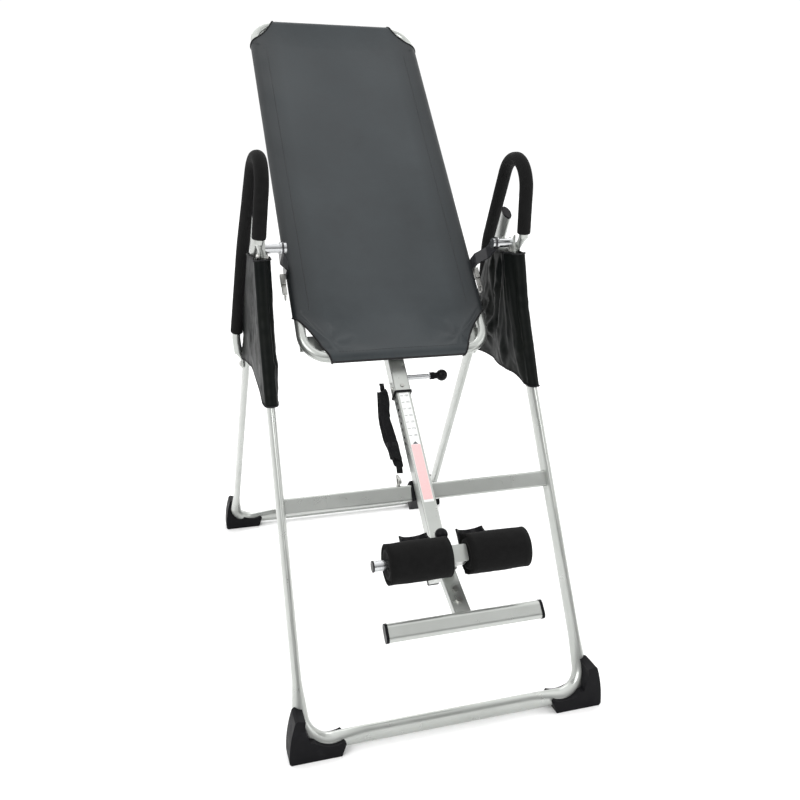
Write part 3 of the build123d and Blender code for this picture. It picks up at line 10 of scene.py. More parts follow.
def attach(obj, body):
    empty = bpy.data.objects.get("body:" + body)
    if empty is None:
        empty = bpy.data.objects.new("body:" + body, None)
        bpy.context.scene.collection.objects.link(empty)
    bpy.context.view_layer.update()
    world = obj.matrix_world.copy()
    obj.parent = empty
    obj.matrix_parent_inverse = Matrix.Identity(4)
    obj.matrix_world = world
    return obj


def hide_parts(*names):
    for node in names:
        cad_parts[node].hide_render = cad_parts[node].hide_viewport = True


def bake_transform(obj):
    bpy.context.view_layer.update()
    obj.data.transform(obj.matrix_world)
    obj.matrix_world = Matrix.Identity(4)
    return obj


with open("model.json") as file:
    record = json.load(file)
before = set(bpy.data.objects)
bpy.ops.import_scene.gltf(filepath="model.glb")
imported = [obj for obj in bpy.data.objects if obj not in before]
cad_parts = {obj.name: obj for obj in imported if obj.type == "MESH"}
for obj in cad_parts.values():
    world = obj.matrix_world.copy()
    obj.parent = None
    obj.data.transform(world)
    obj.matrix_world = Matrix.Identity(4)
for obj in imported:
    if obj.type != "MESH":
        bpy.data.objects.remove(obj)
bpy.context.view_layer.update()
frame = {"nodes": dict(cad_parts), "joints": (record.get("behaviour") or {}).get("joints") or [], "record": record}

SEED = 7
random.seed(SEED)


# =====================================================================================
# Places, read from the frame.  The bed's plane leans back, and the boom hangs under it.
# =====================================================================================
JOINTS = {joint["name"]: joint for joint in frame["joints"]}
PIVOT = Vector(JOINTS["bed_tilt"]["pos_m"])
PIVOT_RISE = 0.1256
UP = -Vector(JOINTS["lock_right_pull"]["axis"]).normalized()
NORMAL = Vector(JOINTS["clamp_slide"]["axis"]).normalized()
BED_ORIGIN = PIVOT - NORMAL * PIVOT_RISE
BOOM_DOWN = Vector(JOINTS["boom_slide"]["axis"]).normalized()
ACROSS = Vector((1, 0, 0))
BOOM_FRONT = BOOM_DOWN.cross(ACROSS).normalized()
BEAM_END_S = -0.31598
BEAM_END_N = -0.04644
BOOM_ORIGIN = BED_ORIGIN + UP * BEAM_END_S + NORMAL * BEAM_END_N
BOOM_HALF = 0.0175


def bed_point(x, s, n):
    """Point at x across, s up the backrest and n out towards the user."""
    return BED_ORIGIN + ACROSS * x + UP * s + NORMAL * n


def boom_point(x, n, u):
    return BOOM_ORIGIN + ACROSS * x + BOOM_FRONT * n + BOOM_DOWN * u


# =====================================================================================
# Materials
# =====================================================================================
class Shader:
    """A node material: a Principled shader with layered colour, roughness and bump."""

    def __init__(self, name, color, roughness, metallic=0.0, specular=0.5, sheen=0.0, coat=0.0):
        self.material = bpy.data.materials.new(name)
        self.material.use_nodes = True
        self.nodes = self.material.node_tree.nodes
        self.links = self.material.node_tree.links
        self.shader = self.nodes["Principled BSDF"]
        self.shader.inputs["Base Color"].default_value = (*color, 1)
        self.shader.inputs["Roughness"].default_value = roughness
        self.shader.inputs["Metallic"].default_value = metallic
        self.shader.inputs["Specular IOR Level"].default_value = specular
        self.shader.inputs["Sheen Weight"].default_value = sheen
        self.shader.inputs["Coat Weight"].default_value = coat
        self.coords = self.nodes.new("ShaderNodeTexCoord").outputs["Object"]
        self.normal = None

    def across(self):
        """Distance from the middle plane of the machine."""
        split = self.nodes.new("ShaderNodeSeparateXYZ")
        self.links.new(self.coords, split.inputs["Vector"])
        size = self.nodes.new("ShaderNodeMath")
        size.operation = "ABSOLUTE"
        self.links.new(split.outputs["X"], size.inputs[0])
        return size.outputs["Value"]

    def stretched(self, scale):
        mapping = self.nodes.new("ShaderNodeMapping")
        mapping.inputs["Scale"].default_value = scale
        self.links.new(self.coords, mapping.inputs["Vector"])
        return mapping.outputs["Vector"]

    def noise(self, scale, detail=4.0, roughness=0.55, vector=None):
        texture = self.nodes.new("ShaderNodeTexNoise")
        texture.inputs["Scale"].default_value = scale
        texture.inputs["Detail"].default_value = detail
        texture.inputs["Roughness"].default_value = roughness
        self.links.new(vector or self.coords, texture.inputs["Vector"])
        return texture.outputs["Fac"]

    def cells(self, scale, feature="F1", vector=None):
        texture = self.nodes.new("ShaderNodeTexVoronoi")
        texture.feature = feature
        texture.inputs["Scale"].default_value = scale
        self.links.new(vector or self.coords, texture.inputs["Vector"])
        return texture.outputs["Distance"]

    def waves(self, scale, direction, distortion=0.0):
        texture = self.nodes.new("ShaderNodeTexWave")
        texture.bands_direction = direction
        texture.inputs["Scale"].default_value = scale
        texture.inputs["Distortion"].default_value = distortion
        self.links.new(self.coords, texture.inputs["Vector"])
        return texture.outputs["Fac"]

    def remap(self, value, low, high, to_low, to_high):
        node = self.nodes.new("ShaderNodeMapRange")
        numbers = {"From Min": low, "From Max": high, "To Min": to_low, "To Max": to_high}
        for socket, number in numbers.items():
            node.inputs[socket].default_value = number
        self.links.new(value, node.inputs["Value"])
        return node.outputs["Result"]

    def vary_color(self, value, dark, light):
        """Base colour that runs from dark to light with value."""
        mix = self.nodes.new("ShaderNodeMix")
        mix.data_type = "RGBA"
        mix.inputs["A"].default_value = (*dark, 1)
        mix.inputs["B"].default_value = (*light, 1)
        self.links.new(value, mix.inputs["Factor"])
        result = mix.outputs["Result"]
        self.links.new(result, self.shader.inputs["Base Color"])
        return result

    def vary_roughness(self, value, low, high):
        self.links.new(self.remap(value, 0.3, 0.7, low, high), self.shader.inputs["Roughness"])

    def bump(self, height, strength, distance):
        node = self.nodes.new("ShaderNodeBump")
        node.inputs["Strength"].default_value = strength
        node.inputs["Distance"].default_value = distance
        self.links.new(height, node.inputs["Height"])
        if self.normal is not None:
            self.links.new(self.normal, node.inputs["Normal"])
        self.normal = node.outputs["Normal"]
        self.links.new(self.normal, self.shader.inputs["Normal"])


def silver_paint():
    """Silver-grey powder coat: fine metal flake, orange peel and a little handling wear."""
    paint = Shader("silver_paint", (0.43, 0.44, 0.425), 0.32, metallic=0.80, specular=0.5, coat=0.25)
    paint.shader.inputs["Coat Roughness"].default_value = 0.16
    clouds = paint.noise(9, detail=5)
    paint.vary_color(paint.remap(clouds, 0.3, 0.7, 0, 1), (0.395, 0.410, 0.390), (0.460, 0.475, 0.455))
    paint.vary_roughness(paint.noise(34, detail=6), 0.26, 0.38)
    paint.bump(paint.noise(420, detail=2), 0.05, 0.0006)
    paint.bump(paint.cells(1500), 0.03, 0.0003)
    return paint.material


def arm_paint():
    """Black powder coat on the pivot arms, rubbed bright along streaks."""
    paint = Shader("arm_black_paint", (0.03, 0.03, 0.033), 0.33, metallic=0.1, coat=0.3)
    streaks = paint.noise(60, detail=6, vector=paint.stretched((1, 1, 0.15)))
    paint.vary_color(paint.remap(streaks, 0.62, 0.75, 0, 1), (0.022, 0.022, 0.025), (0.09, 0.09, 0.095))
    paint.vary_roughness(streaks, 0.26, 0.45)
    paint.bump(paint.noise(700, detail=2), 0.06, 0.0004)
    return paint.material


def plated(name, color, rough_low, rough_high, grain):
    """Plated steel with faint grain and fingerprints in its roughness."""
    metal = Shader(name, color, rough_low, metallic=1.0)
    metal.vary_roughness(metal.noise(55, detail=7), rough_low, rough_high)
    darker = tuple(channel * 0.86 for channel in color)
    metal.vary_color(metal.remap(metal.noise(28, detail=3), 0.35, 0.65, 0, 1), darker, color)
    metal.bump(metal.noise(grain, detail=3), 0.05, 0.0003)
    return metal.material


def moulded(name, color, rough_low, rough_high, grain, strength):
    """Moulded plastic or rubber with a fine spark-eroded texture and pale scuffs."""
    plastic = Shader(name, color, rough_low, specular=0.08)
    scuffs = plastic.remap(plastic.noise(24, detail=8, roughness=0.7), 0.58, 0.74, 0, 1)
    plastic.vary_color(scuffs, color, tuple(channel * 1.7 + 0.002 for channel in color))
    plastic.vary_roughness(plastic.noise(40, detail=5), rough_low, rough_high)
    plastic.bump(plastic.noise(grain, detail=4), strength, 0.0004)
    return plastic.material


def foam(name, color, cell_scale):
    """Closed-cell foam: open pores at the skin, soft mottling and sheen."""
    skin = Shader(name, color, 0.86, specular=0.06, sheen=0.02)
    skin.shader.inputs["Sheen Roughness"].default_value = 0.6
    mottle = skin.noise(70, detail=6)
    skin.vary_color(skin.remap(mottle, 0.3, 0.7, 0, 1), color, tuple(channel * 1.6 for channel in color))
    skin.vary_roughness(mottle, 0.80, 0.95)
    skin.bump(skin.cells(cell_scale), 0.35, 0.0006)
    skin.bump(skin.noise(cell_scale * 0.4, detail=5), 0.25, 0.0008)
    return skin.material


def bed_nylon():
    """Charcoal coated fabric: leather-like grain over a fine weave."""
    cloth = Shader("bed_nylon", (0.040, 0.044, 0.048), 0.5, specular=0.32, sheen=0.06)
    cloth.shader.inputs["Sheen Roughness"].default_value = 0.45
    clouds = cloth.noise(6, detail=6, roughness=0.6)
    mottling = cloth.remap(clouds, 0.3, 0.7, 0, 1)
    mottled = cloth.vary_color(mottling, (0.021, 0.026, 0.029), (0.034, 0.041, 0.045))
    edge = cloth.nodes.new("ShaderNodeMix")
    edge.data_type = "RGBA"
    edge.inputs["B"].default_value = (0.014, 0.017, 0.019, 1)
    cloth.links.new(cloth.remap(cloth.across(), 0.165, 0.235, 0, 1), edge.inputs["Factor"])
    cloth.links.new(mottled, edge.inputs["A"])
    cloth.links.new(edge.outputs["Result"], cloth.shader.inputs["Base Color"])
    cloth.vary_roughness(cloth.noise(12, detail=6), 0.42, 0.58)
    cloth.bump(cloth.cells(420, feature="F1"), 0.18, 0.0006)
    cloth.bump(cloth.noise(160, detail=6), 0.12, 0.0010)
    return cloth.material


def binding_tape():
    """Dark woven edge binding."""
    tape = Shader("binding_tape", (0.008, 0.008, 0.009), 0.75, specular=0.2, sheen=0.04)
    tape.bump(tape.waves(900, "DIAGONAL"), 0.4, 0.0004)
    fuzz = tape.noise(300, detail=4)
    tape.vary_color(tape.remap(fuzz, 0.3, 0.7, 0, 1), (0.006, 0.006, 0.007), (0.014, 0.014, 0.015))
    return tape.material


def thread():
    stitch = Shader("sewing_thread", (0.018, 0.019, 0.021), 0.6, specular=0.3, sheen=0.1)
    stitch.bump(stitch.waves(2600, "DIAGONAL"), 0.5, 0.0002)
    return stitch.material


def cover_nylon():
    """Glossy black coated nylon with a ripstop grid."""
    cloth = Shader("cover_nylon", (0.003, 0.004, 0.004), 0.34, specular=0.06)
    clouds = cloth.noise(18, detail=5)
    cloth.vary_color(cloth.remap(clouds, 0.3, 0.7, 0, 1), (0.003, 0.004, 0.004), (0.006, 0.007, 0.006))
    cloth.vary_roughness(cloth.noise(22, detail=6), 0.36, 0.52)
    cloth.bump(cloth.noise(90, detail=7, roughness=0.65), 0.10, 0.0012)
    cloth.bump(cloth.waves(520, "Z"), 0.05, 0.0003)
    cloth.bump(cloth.waves(520, "Y"), 0.05, 0.0003)
    return cloth.material


def webbing():
    strap = Shader("strap_webbing", (0.006, 0.006, 0.007), 0.82, specular=0.15, sheen=0.05)
    strap.bump(strap.waves(420, "DIAGONAL"), 0.45, 0.0005)
    fuzz = strap.noise(160, detail=5)
    strap.vary_color(strap.remap(fuzz, 0.3, 0.7, 0, 1), (0.004, 0.004, 0.005), (0.010, 0.010, 0.011))
    return strap.material


def print_ink(name, color, rough):
    ink = Shader(name, color, rough, specular=0.4)
    speck = ink.noise(240, detail=5)
    darker = tuple(channel * 0.93 for channel in color)
    ink.vary_color(ink.remap(speck, 0.35, 0.65, 0, 1), darker, color)
    ink.vary_roughness(ink.noise(60, detail=3), rough, rough + 0.12)
    return ink.material


SILVER = silver_paint()
ARM_BLACK = arm_paint()
CHROME = plated("chrome_plate", (0.55, 0.56, 0.57), 0.14, 0.28, 900)
ZINC = plated("zinc_plate", (0.46, 0.46, 0.44), 0.28, 0.44, 600)
# Painted shade: near-black metal for the boom's inside, much darker than bare steel, standing in for the shade
# inside the tube.
BOOM_INSIDE_SHADE = plated("boom_inside_painted_shade", (0.030, 0.028, 0.026), 0.60, 0.80, 500)
RUBBER = moulded("foot_rubber", (0.006, 0.006, 0.007), 0.45, 0.62, 800, 0.20)
PLASTIC = moulded("black_plastic", (0.006, 0.006, 0.007), 0.22, 0.38, 1200, 0.10)
GRIP_FOAM = foam("grip_foam", (0.006, 0.006, 0.006), 1300)
ROLLER_FOAM = foam("roller_foam", (0.005, 0.005, 0.005), 800)
BED_NYLON = bed_nylon()
BINDING = binding_tape()
THREAD = thread()
COVER_NYLON = cover_nylon()
WEBBING = webbing()
LABEL_WHITE = print_ink("label_white", (0.80, 0.81, 0.80), 0.34)
LABEL_BLACK = print_ink("label_black", (0.10, 0.10, 0.11), 0.40)
LABEL_ROSE = print_ink("label_rose", (0.80, 0.52, 0.52), 0.38)

SLOT_MATERIALS = {
    "painted_steel": SILVER,
    "arm_paint": ARM_BLACK,
    "zinc_steel": ZINC,
    "chrome_steel": CHROME,
    "black_rubber": RUBBER,
    "black_plastic": PLASTIC,
    "grip_foam": GRIP_FOAM,
    "roller_foam": ROLLER_FOAM,
    "cover_nylon": COVER_NYLON,
    "bed_nylon": BED_NYLON,
    "strap_webbing": WEBBING,
    "scale_label": LABEL_WHITE,
}


# =====================================================================================
# Carried-over CAD nodes: material, smooth shading and a small worn edge
# =====================================================================================
SMOOTH_ANGLE = math.radians(32)
EDGE_RADIUS = {"black_rubber": 0.0022, "black_plastic": 0.0009, "painted_steel": 0.0006, "zinc_steel": 0.0005}


def darken_inside_boom(node):
    """Painted shade: near-black metal on the boom's inner faces, which show through its holes, stands in for the
    shade inside the tube.
    """
    node.data.materials.append(BOOM_INSIDE_SHADE)
    for face in node.data.polygons:
        away = node.matrix_world @ face.center - BOOM_ORIGIN
        if max(abs(away.dot(ACROSS)), abs(away.dot(BOOM_FRONT))) < BOOM_HALF - 0.0008:
            face.material_index = 1


def finish_cad_nodes():
    slots = {row["node"]: row["material_slot"] for row in frame["record"]["subparts"]}
    for name, node in frame["nodes"].items():
        slot = slots[name]
        node.data.materials.clear()
        node.data.materials.append(SLOT_MATERIALS[slot])
        node.data.shade_smooth()
        node.data.set_sharp_from_angle(angle=SMOOTH_ANGLE)
        if slot in EDGE_RADIUS:
            bevel = node.modifiers.new("worn_edge", "BEVEL")
            bevel.width = EDGE_RADIUS[slot]
            bevel.segments = 2
            bevel.limit_method = "ANGLE"
            bevel.angle_limit = math.radians(40)
            bevel.harden_normals = False


# =====================================================================================
# Mesh helpers
# =====================================================================================
def mesh_object(name, points, faces, material, smooth=True):
    mesh = bpy.data.meshes.new(name)
    mesh.from_pydata([tuple(point) for point in points], [], faces)
    mesh.validate()
    made = bpy.data.objects.new(name, mesh)
    bpy.context.scene.collection.objects.link(made)
    mesh.materials.append(material)
    if smooth:
        mesh.shade_smooth()
    return made


def grid_faces(rows, columns, closed=False):
    """Quads of a grid of points stored row by row; closed joins the last column to the first."""
    faces = []
    for row in range(rows - 1):
        for column in range(columns if closed else columns - 1):
            after = (column + 1) % columns
            low = row * columns
            high = low + columns
            faces.append((low + column, low + after, high + after, high + column))
    return faces


def outward(made):
    """Turns a closed mesh's faces outward."""
    work = bmesh.new()
    work.from_mesh(made.data)
    bmesh.ops.recalc_face_normals(work, faces=work.faces)
    work.to_mesh(made.data)
    work.free()


def apply_modifiers(made):
    """Writes the evaluated shape back as the object's own mesh."""
    graph = bpy.context.evaluated_depsgraph_get()
    shaped = bpy.data.meshes.new_from_object(made.evaluated_get(graph))
    made.modifiers.clear()
    made.data = shaped


def tube_along(name, points, radius, material, sides=10, closed=False):
    """Tube of one radius along a list of points."""
    count = len(points)
    ring_points = []
    reference = None
    for index, point in enumerate(points):
        before = points[(index - 1) % count] if closed or index else point
        after = points[(index + 1) % count] if closed or index < count - 1 else point
        along = (after - before).normalized()
        if reference is None:
            reference = along.orthogonal().normalized()
        reference = (reference - along * reference.dot(along)).normalized()
        binormal = along.cross(reference)
        for side in range(sides):
            angle = 2 * math.pi * side / sides
            offset = reference * math.cos(angle) + binormal * math.sin(angle)
            ring_points.append(point + offset * radius)
    faces = grid_faces(count, sides, closed=True)
    if closed:
        last = (count - 1) * sides
        for side in range(sides):
            after = (side + 1) % sides
            faces.append((last + side, last + after, after, side))
    else:
        faces.append(tuple(range(sides))[::-1])
        faces.append(tuple((count - 1) * sides + side for side in range(sides)))
    made = mesh_object(name, ring_points, faces, material)
    outward(made)
    return made


CLOTH_FRAMES = 14


def settle_cloth(made, pinned, slack, bending, gravity, pressure=0.0):
    """Lets a pinned sheet hang for a few frames, then keeps the shape it takes."""
    group = made.vertex_groups.new(name="pinned")
    group.add(pinned, 1.0, "REPLACE")
    modifier = made.modifiers.new("settle", "CLOTH")
    settings = modifier.settings
    settings.quality = 6
    settings.mass = 0.25
    settings.tension_stiffness = 40
    settings.compression_stiffness = 12
    settings.shear_stiffness = 12
    settings.bending_stiffness = bending
    settings.shrink_min = -slack
    settings.vertex_group_mass = "pinned"
    settings.effector_weights.gravity = gravity
    if pressure:
        settings.use_pressure = True
        settings.uniform_pressure_force = pressure
    modifier.collision_settings.use_collision = False
    modifier.point_cache.frame_start = 1
    modifier.point_cache.frame_end = CLOTH_FRAMES
    scene = bpy.context.scene
    for step in range(1, CLOTH_FRAMES + 1):
        scene.frame_set(step)
    apply_modifiers(made)
    scene.frame_set(1)
    made.vertex_groups.clear()


# =====================================================================================
# Bed fabric: a taut sheet that wraps the tube loop on four sides, corners cut away
# =====================================================================================
FABRIC_X = 0.231
FABRIC_LOW = -0.2275
FABRIC_HIGH = 0.8745
FABRIC_RADIUS = 0.0149
FLAP = 0.040
CUT_ACROSS = 0.105
CUT_LOWER = 0.160
CUT_UPPER = 0.125
CUT_ROUND = 1.5
SEAM_X = 0.203
SEAM_STEP = 0.0010
SAG = 0.005
HEM_START = 0.012
FABRIC_MIDDLE = (FABRIC_HIGH + FABRIC_LOW) / 2


def fabric_place(a, b):
    """Sheet coordinates (a across, b up the bed, both measured along the cloth) to a point."""
    x = max(-FABRIC_X, min(FABRIC_X, a))
    s = max(FABRIC_LOW, min(FABRIC_HIGH, b))
    turn_x = (abs(a) - FABRIC_X) / FABRIC_RADIUS if abs(a) > FABRIC_X else 0.0
    over = b - FABRIC_HIGH if b > FABRIC_HIGH else FABRIC_LOW - b
    turn_s = over / FABRIC_RADIUS if over > 0 else 0.0
    turn = max(turn_x, turn_s)
    reach = FABRIC_RADIUS * math.sin(turn)
    n = FABRIC_RADIUS * math.cos(turn)
    if turn_x > 0:
        x += math.copysign(reach, a)
    elif turn_s > 0:
        s += math.copysign(reach, b - FABRIC_MIDDLE)
    inside_x = max(0.0, 1 - (a / FABRIC_X) ** 2)
    middle = (2 * b - FABRIC_HIGH - FABRIC_LOW) / (FABRIC_HIGH - FABRIC_LOW)
    inside_s = max(0.0, 1 - middle ** 4)
    n -= SAG * inside_x * inside_s
    n -= SEAM_STEP * min(1.0, max(0.0, (abs(a) - SEAM_X) / 0.003)) * inside_s
    return x, s, n


def corner_folds(a, b):
    """Pleats that fan out from the lower corners, and a few soft ones along the foot."""
    depth = 0.0
    for side in (-1, 1):
        away_x = (a - side * 0.160) * -side
        away_s = b - (FABRIC_LOW + 0.035)
        distance = math.hypot(away_x, away_s)
        if 0.01 < distance < 0.24:
            angle = math.atan2(away_s, away_x)
            fade = math.exp(-((distance - 0.06) / 0.075) ** 2)
            depth += 0.0042 * fade * math.sin(angle * 5.5 + side * 0.8 + 3 * distance)
    foot = math.exp(-((b - FABRIC_LOW - 0.05) / 0.07) ** 2)
    depth += 0.0036 * foot * noise.noise(Vector((a * 19 + b * 4, b * 5, 0.3)))
    depth += 0.0012 * noise.noise(Vector((a * 9, b * 7, 4.1)))
    clear = min(FABRIC_X - abs(a), b - FABRIC_LOW, FABRIC_HIGH - b)
    return depth * min(1.0, max(0.0, (clear - 0.012) / 0.02))


def cut_rows(length, edge_a):
    """Rows (distance from the sheet's end, half width) through a corner cut of a given length."""
    rows = []
    for step in range(CUT_STEPS + 1):
        share = math.sin(math.pi / 2 * step / CUT_STEPS)
        cut = CUT_ACROSS * (1 - share ** CUT_ROUND) ** (1 / CUT_ROUND)
        rows.append((length * share, edge_a - cut))
    return rows


def place_on_sheet(places, rows, columns, a, b):
    """Point of the settled sheet at cloth coordinates (a, b)."""
    row = max(1, min(len(rows) - 1, next((i for i, (level, _) in enumerate(rows) if level > b), 1)))
    low_b, high_b = rows[row - 1][0], rows[row][0]
    up = (b - low_b) / (high_b - low_b)
    ends = []
    for index in (row - 1, row):
        share = math.asin(max(-1, min(1, a / rows[index][1] * COLUMN_BEND))) / math.asin(COLUMN_BEND)
        column = (share + 1) / 2 * (columns - 1)
        left = max(0, min(columns - 2, int(column)))
        line = places[index * columns:(index + 1) * columns]
        ends.append(line[left].lerp(line[left + 1], column - left))
    return ends[0].lerp(ends[1], up)


CUT_STEPS = 34
COLUMN_BEND = 0.97
STITCH = 0.0055
STITCH_GAP = 0.0025
STITCH_RADIUS = 0.00055


def build_stitches(places, rows, columns):
    """Lines of thread along both side seams and above the foot hem."""
    lines = [((side * SEAM_X, FABRIC_LOW + 0.13), (side * SEAM_X, FABRIC_HIGH - 0.10)) for side in (-1, 1)]
    lines.append(((-0.150, FABRIC_LOW + 0.008), (0.150, FABRIC_LOW + 0.008)))
    points = []
    faces = []
    for start, finish in lines:
        run = (finish[0] - start[0], finish[1] - start[1])
        count = int(math.hypot(*run) / (STITCH + STITCH_GAP))
        for index in range(count):
            ends = []
            for share in (index / count, (index + STITCH / (STITCH + STITCH_GAP)) / count):
                spot = (start[0] + run[0] * share, start[1] + run[1] * share)
                ends.append(place_on_sheet(places, rows, columns, *spot) + NORMAL * 0.0002)
            along = (ends[1] - ends[0]).normalized()
            wide = along.cross(NORMAL).normalized()
            base = len(points)
            inset = along * 0.001
            stitch = ((ends[0], 0.5), (ends[0] + inset, 1), (ends[1] - inset, 1), (ends[1], 0.5))
            for place, size in stitch:
                for side in range(6):
                    turn = math.pi * side / 3
                    offset = wide * math.cos(turn) + NORMAL * math.sin(turn)
                    points.append(place + offset * STITCH_RADIUS * size)
            faces += [tuple(base + corner for corner in face) for face in grid_faces(4, 6, closed=True)]
            faces.append(tuple(base + side for side in range(6))[::-1])
            faces.append(tuple(base + 18 + side for side in range(6)))
    made = mesh_object("bed_stitches", points, faces, THREAD)
    outward(made)
    return made


def build_bed_fabric():
    edge_a = FABRIC_X + FLAP
    low_b = FABRIC_LOW - FLAP
    high_b = FABRIC_HIGH + FLAP
    straight_low = low_b + CUT_LOWER
    straight_high = high_b - CUT_UPPER
    straight_steps = 84
    rows = [(low_b + along, reach) for along, reach in cut_rows(CUT_LOWER, edge_a)]
    for step in range(1, straight_steps):
        rows.append((straight_low + (straight_high - straight_low) * step / straight_steps, edge_a))
    rows += [(high_b - along, reach) for along, reach in reversed(cut_rows(CUT_UPPER, edge_a))]
    columns = 97
    points = []
    pinned = []
    for b, reach in rows:
        for column in range(columns):
            share = -1 + 2 * column / (columns - 1)
            a = reach * math.sin(share * math.asin(COLUMN_BEND)) / COLUMN_BEND
            x, s, n = fabric_place(a, b)
            n += corner_folds(a, b)
            if abs(a) > FABRIC_X - 0.004 or b < FABRIC_LOW + 0.004 or b > FABRIC_HIGH - 0.004:
                pinned.append(len(points))
            points.append(bed_point(x, s, n))
    sheet = mesh_object("bed_cover", points, grid_faces(len(rows), columns), BED_NYLON)
    settle_cloth(sheet, pinned, slack=0.0012, bending=0.4, gravity=0.6)
    places = [vertex.co.copy() for vertex in sheet.data.vertices]
    sheet.data.materials.append(BINDING)
    for index, face in enumerate(sheet.data.polygons):
        if rows[index // (columns - 1) + 1][0] < FABRIC_LOW - HEM_START:
            face.material_index = 1
    thick = sheet.modifiers.new("cloth_thickness", "SOLIDIFY")
    thick.thickness = 0.0016
    thick.offset = -1
    apply_modifiers(sheet)
    sheet.data.shade_smooth()
    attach(sheet, "bed")
    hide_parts("bed_fabric")
    trims = [build_stitches(places, rows, columns)]
    cut_count = CUT_STEPS + 1
    for label, chosen in (("lower", range(cut_count)), ("upper", range(len(rows) - cut_count, len(rows)))):
        for side, column in (("left", 0), ("right", columns - 1)):
            route = [places[index * columns + column] for index in chosen]
            spaced = [route[0]]
            for point in route[1:]:
                if (point - spaced[-1]).length > 0.0015:
                    spaced.append(point)
            trims.append(tube_along(f"corner_binding_{label}_{side}", spaced, 0.0022, BINDING))
    for trim in trims:
        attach(trim, "bed")


# =====================================================================================
# Side covers: nylon sleeves that close the gap between the legs
# =====================================================================================
COVER_TOP = 0.996
COVER_LOW = 0.697
COVER_INNER_X = 0.2935
COVER_HEM_X = 0.301
COVER_FRONT = ((COVER_LOW, -0.2590), (0.86, -0.186), (COVER_TOP, -0.150))
COVER_REAR = ((COVER_LOW, 0.232), (0.86, 0.124), (COVER_TOP, 0.032))
COVER_OUTER = ((COVER_LOW, 0.3465), (COVER_TOP, 0.3360))
COVER_END_DEPTH = 0.012
COVER_END_HALF = 0.0145
COVER_WIDEN = 0.036
# X of the front and rear legs' centres at the covers' hem and top.
FRONT_LEG_X = ((COVER_LOW, 0.3245), (COVER_TOP, 0.3225))
REAR_LEG_X = ((COVER_LOW, 0.3316), (COVER_TOP, 0.3205))
HEM_DIP = 0.016
GRIP_RADIUS = 0.0165
GRIP_ROUTE = (
    (0.3255, -0.1523, 1.0349), (0.3115, -0.190, 1.223), (0.318, -0.061, 1.223), (0.336, 0.104, 1.004),
    (0.358, 0.185, 0.756), (0.353, 0.198, 0.712),
)
GRIP_BENDS = (0.062, 0.080, 0.220, 0.110)
# Folds of the covers' panels: start and end as (y, z), width and height.  Above zero stands proud.
INNER_FOLDS = (
    ((-0.085, 0.985), (-0.015, 0.775), 0.016, 0.016),
    ((0.130, 0.860), (-0.175, 0.712), 0.024, 0.016),
    ((-0.045, 0.985), (0.095, 0.800), 0.014, 0.013),
    ((-0.108, 0.950), (-0.150, 0.760), 0.014, 0.008),
    ((-0.105, 0.915), (-0.010, 0.885), 0.008, 0.006),
    ((0.160, 0.770), (0.010, 0.706), 0.014, -0.004),
)
OUTER_FOLDS = (
    ((-0.070, 0.985), (0.020, 0.760), 0.016, -0.007),
    ((-0.110, 0.970), (-0.090, 0.740), 0.014, 0.004),
    ((0.005, 0.960), (0.120, 0.790), 0.014, -0.005),
    ((0.130, 0.800), (-0.060, 0.712), 0.020, 0.004),
)


def along_table(table, z):
    """Value at a height, straight between the rows of a (height, value) table."""
    for (low_z, low), (high_z, high) in zip(table, table[1:]):
        if z <= high_z:
            share = max(0.0, (z - low_z) / (high_z - low_z))
            return low + (high - low) * share
    return table[-1][1]


def rounded_path(corners, radii, step=0.006):
    """Points along straight runs joined by arcs, about one step apart."""
    corners = [Vector(corner) for corner in corners]
    points = [corners[0]]

    def run_to(target):
        start = points[-1]
        count = max(1, round((target - start).length / step))
        points.extend(start.lerp(target, index / count) for index in range(1, count + 1))

    for before, corner, after, radius in zip(corners, corners[1:], corners[2:], radii):
        inward = (before - corner).normalized()
        onward = (after - corner).normalized()
        half = inward.angle(onward) / 2
        reach = radius / math.tan(half)
        centre = corner + (inward + onward).normalized() * (radius / math.sin(half))
        run_to(corner + inward * reach)
        arm = points[-1] - centre
        sweep = math.pi - 2 * half
        turn_axis = arm.cross(corner + onward * reach - centre).normalized()
        count = max(3, round(radius * sweep / step))
        for index in range(1, count + 1):
            points.append(centre + Matrix.Rotation(sweep * index / count, 3, turn_axis) @ arm)
    run_to(corners[-1])
    return points


HANDLE_LINE = rounded_path(GRIP_ROUTE, GRIP_BENDS, step=0.012)
POCKET_BACK = 0.052


def fold_height(folds, y, z):
    height = 0.0
    for (start_y, start_z), (end_y, end_z), width, rise in folds:
        run_y, run_z = end_y - start_y, end_z - start_z
        length = math.hypot(run_y, run_z)
        along = ((y - start_y) * run_y + (z - start_z) * run_z) / length ** 2
        off = ((y - start_y) * run_z - (z - start_z) * run_y) / length
        ends = min(1.0, max(0.0, (along + 0.12) / 0.3)) * min(1.0, max(0.0, (1.12 - along) / 0.3))
        height += rise * math.exp(-((off / width) ** 2)) * ends
    return height


def behind_front_edge(y, z):
    """How far a point of a cover lies behind the cover's front edge."""
    return y - along_table(COVER_FRONT, z)


def eased(value):
    """0 to 1, with a level start and end."""
    value = min(1.0, max(0.0, value))
    return value * value * (3 - 2 * value)


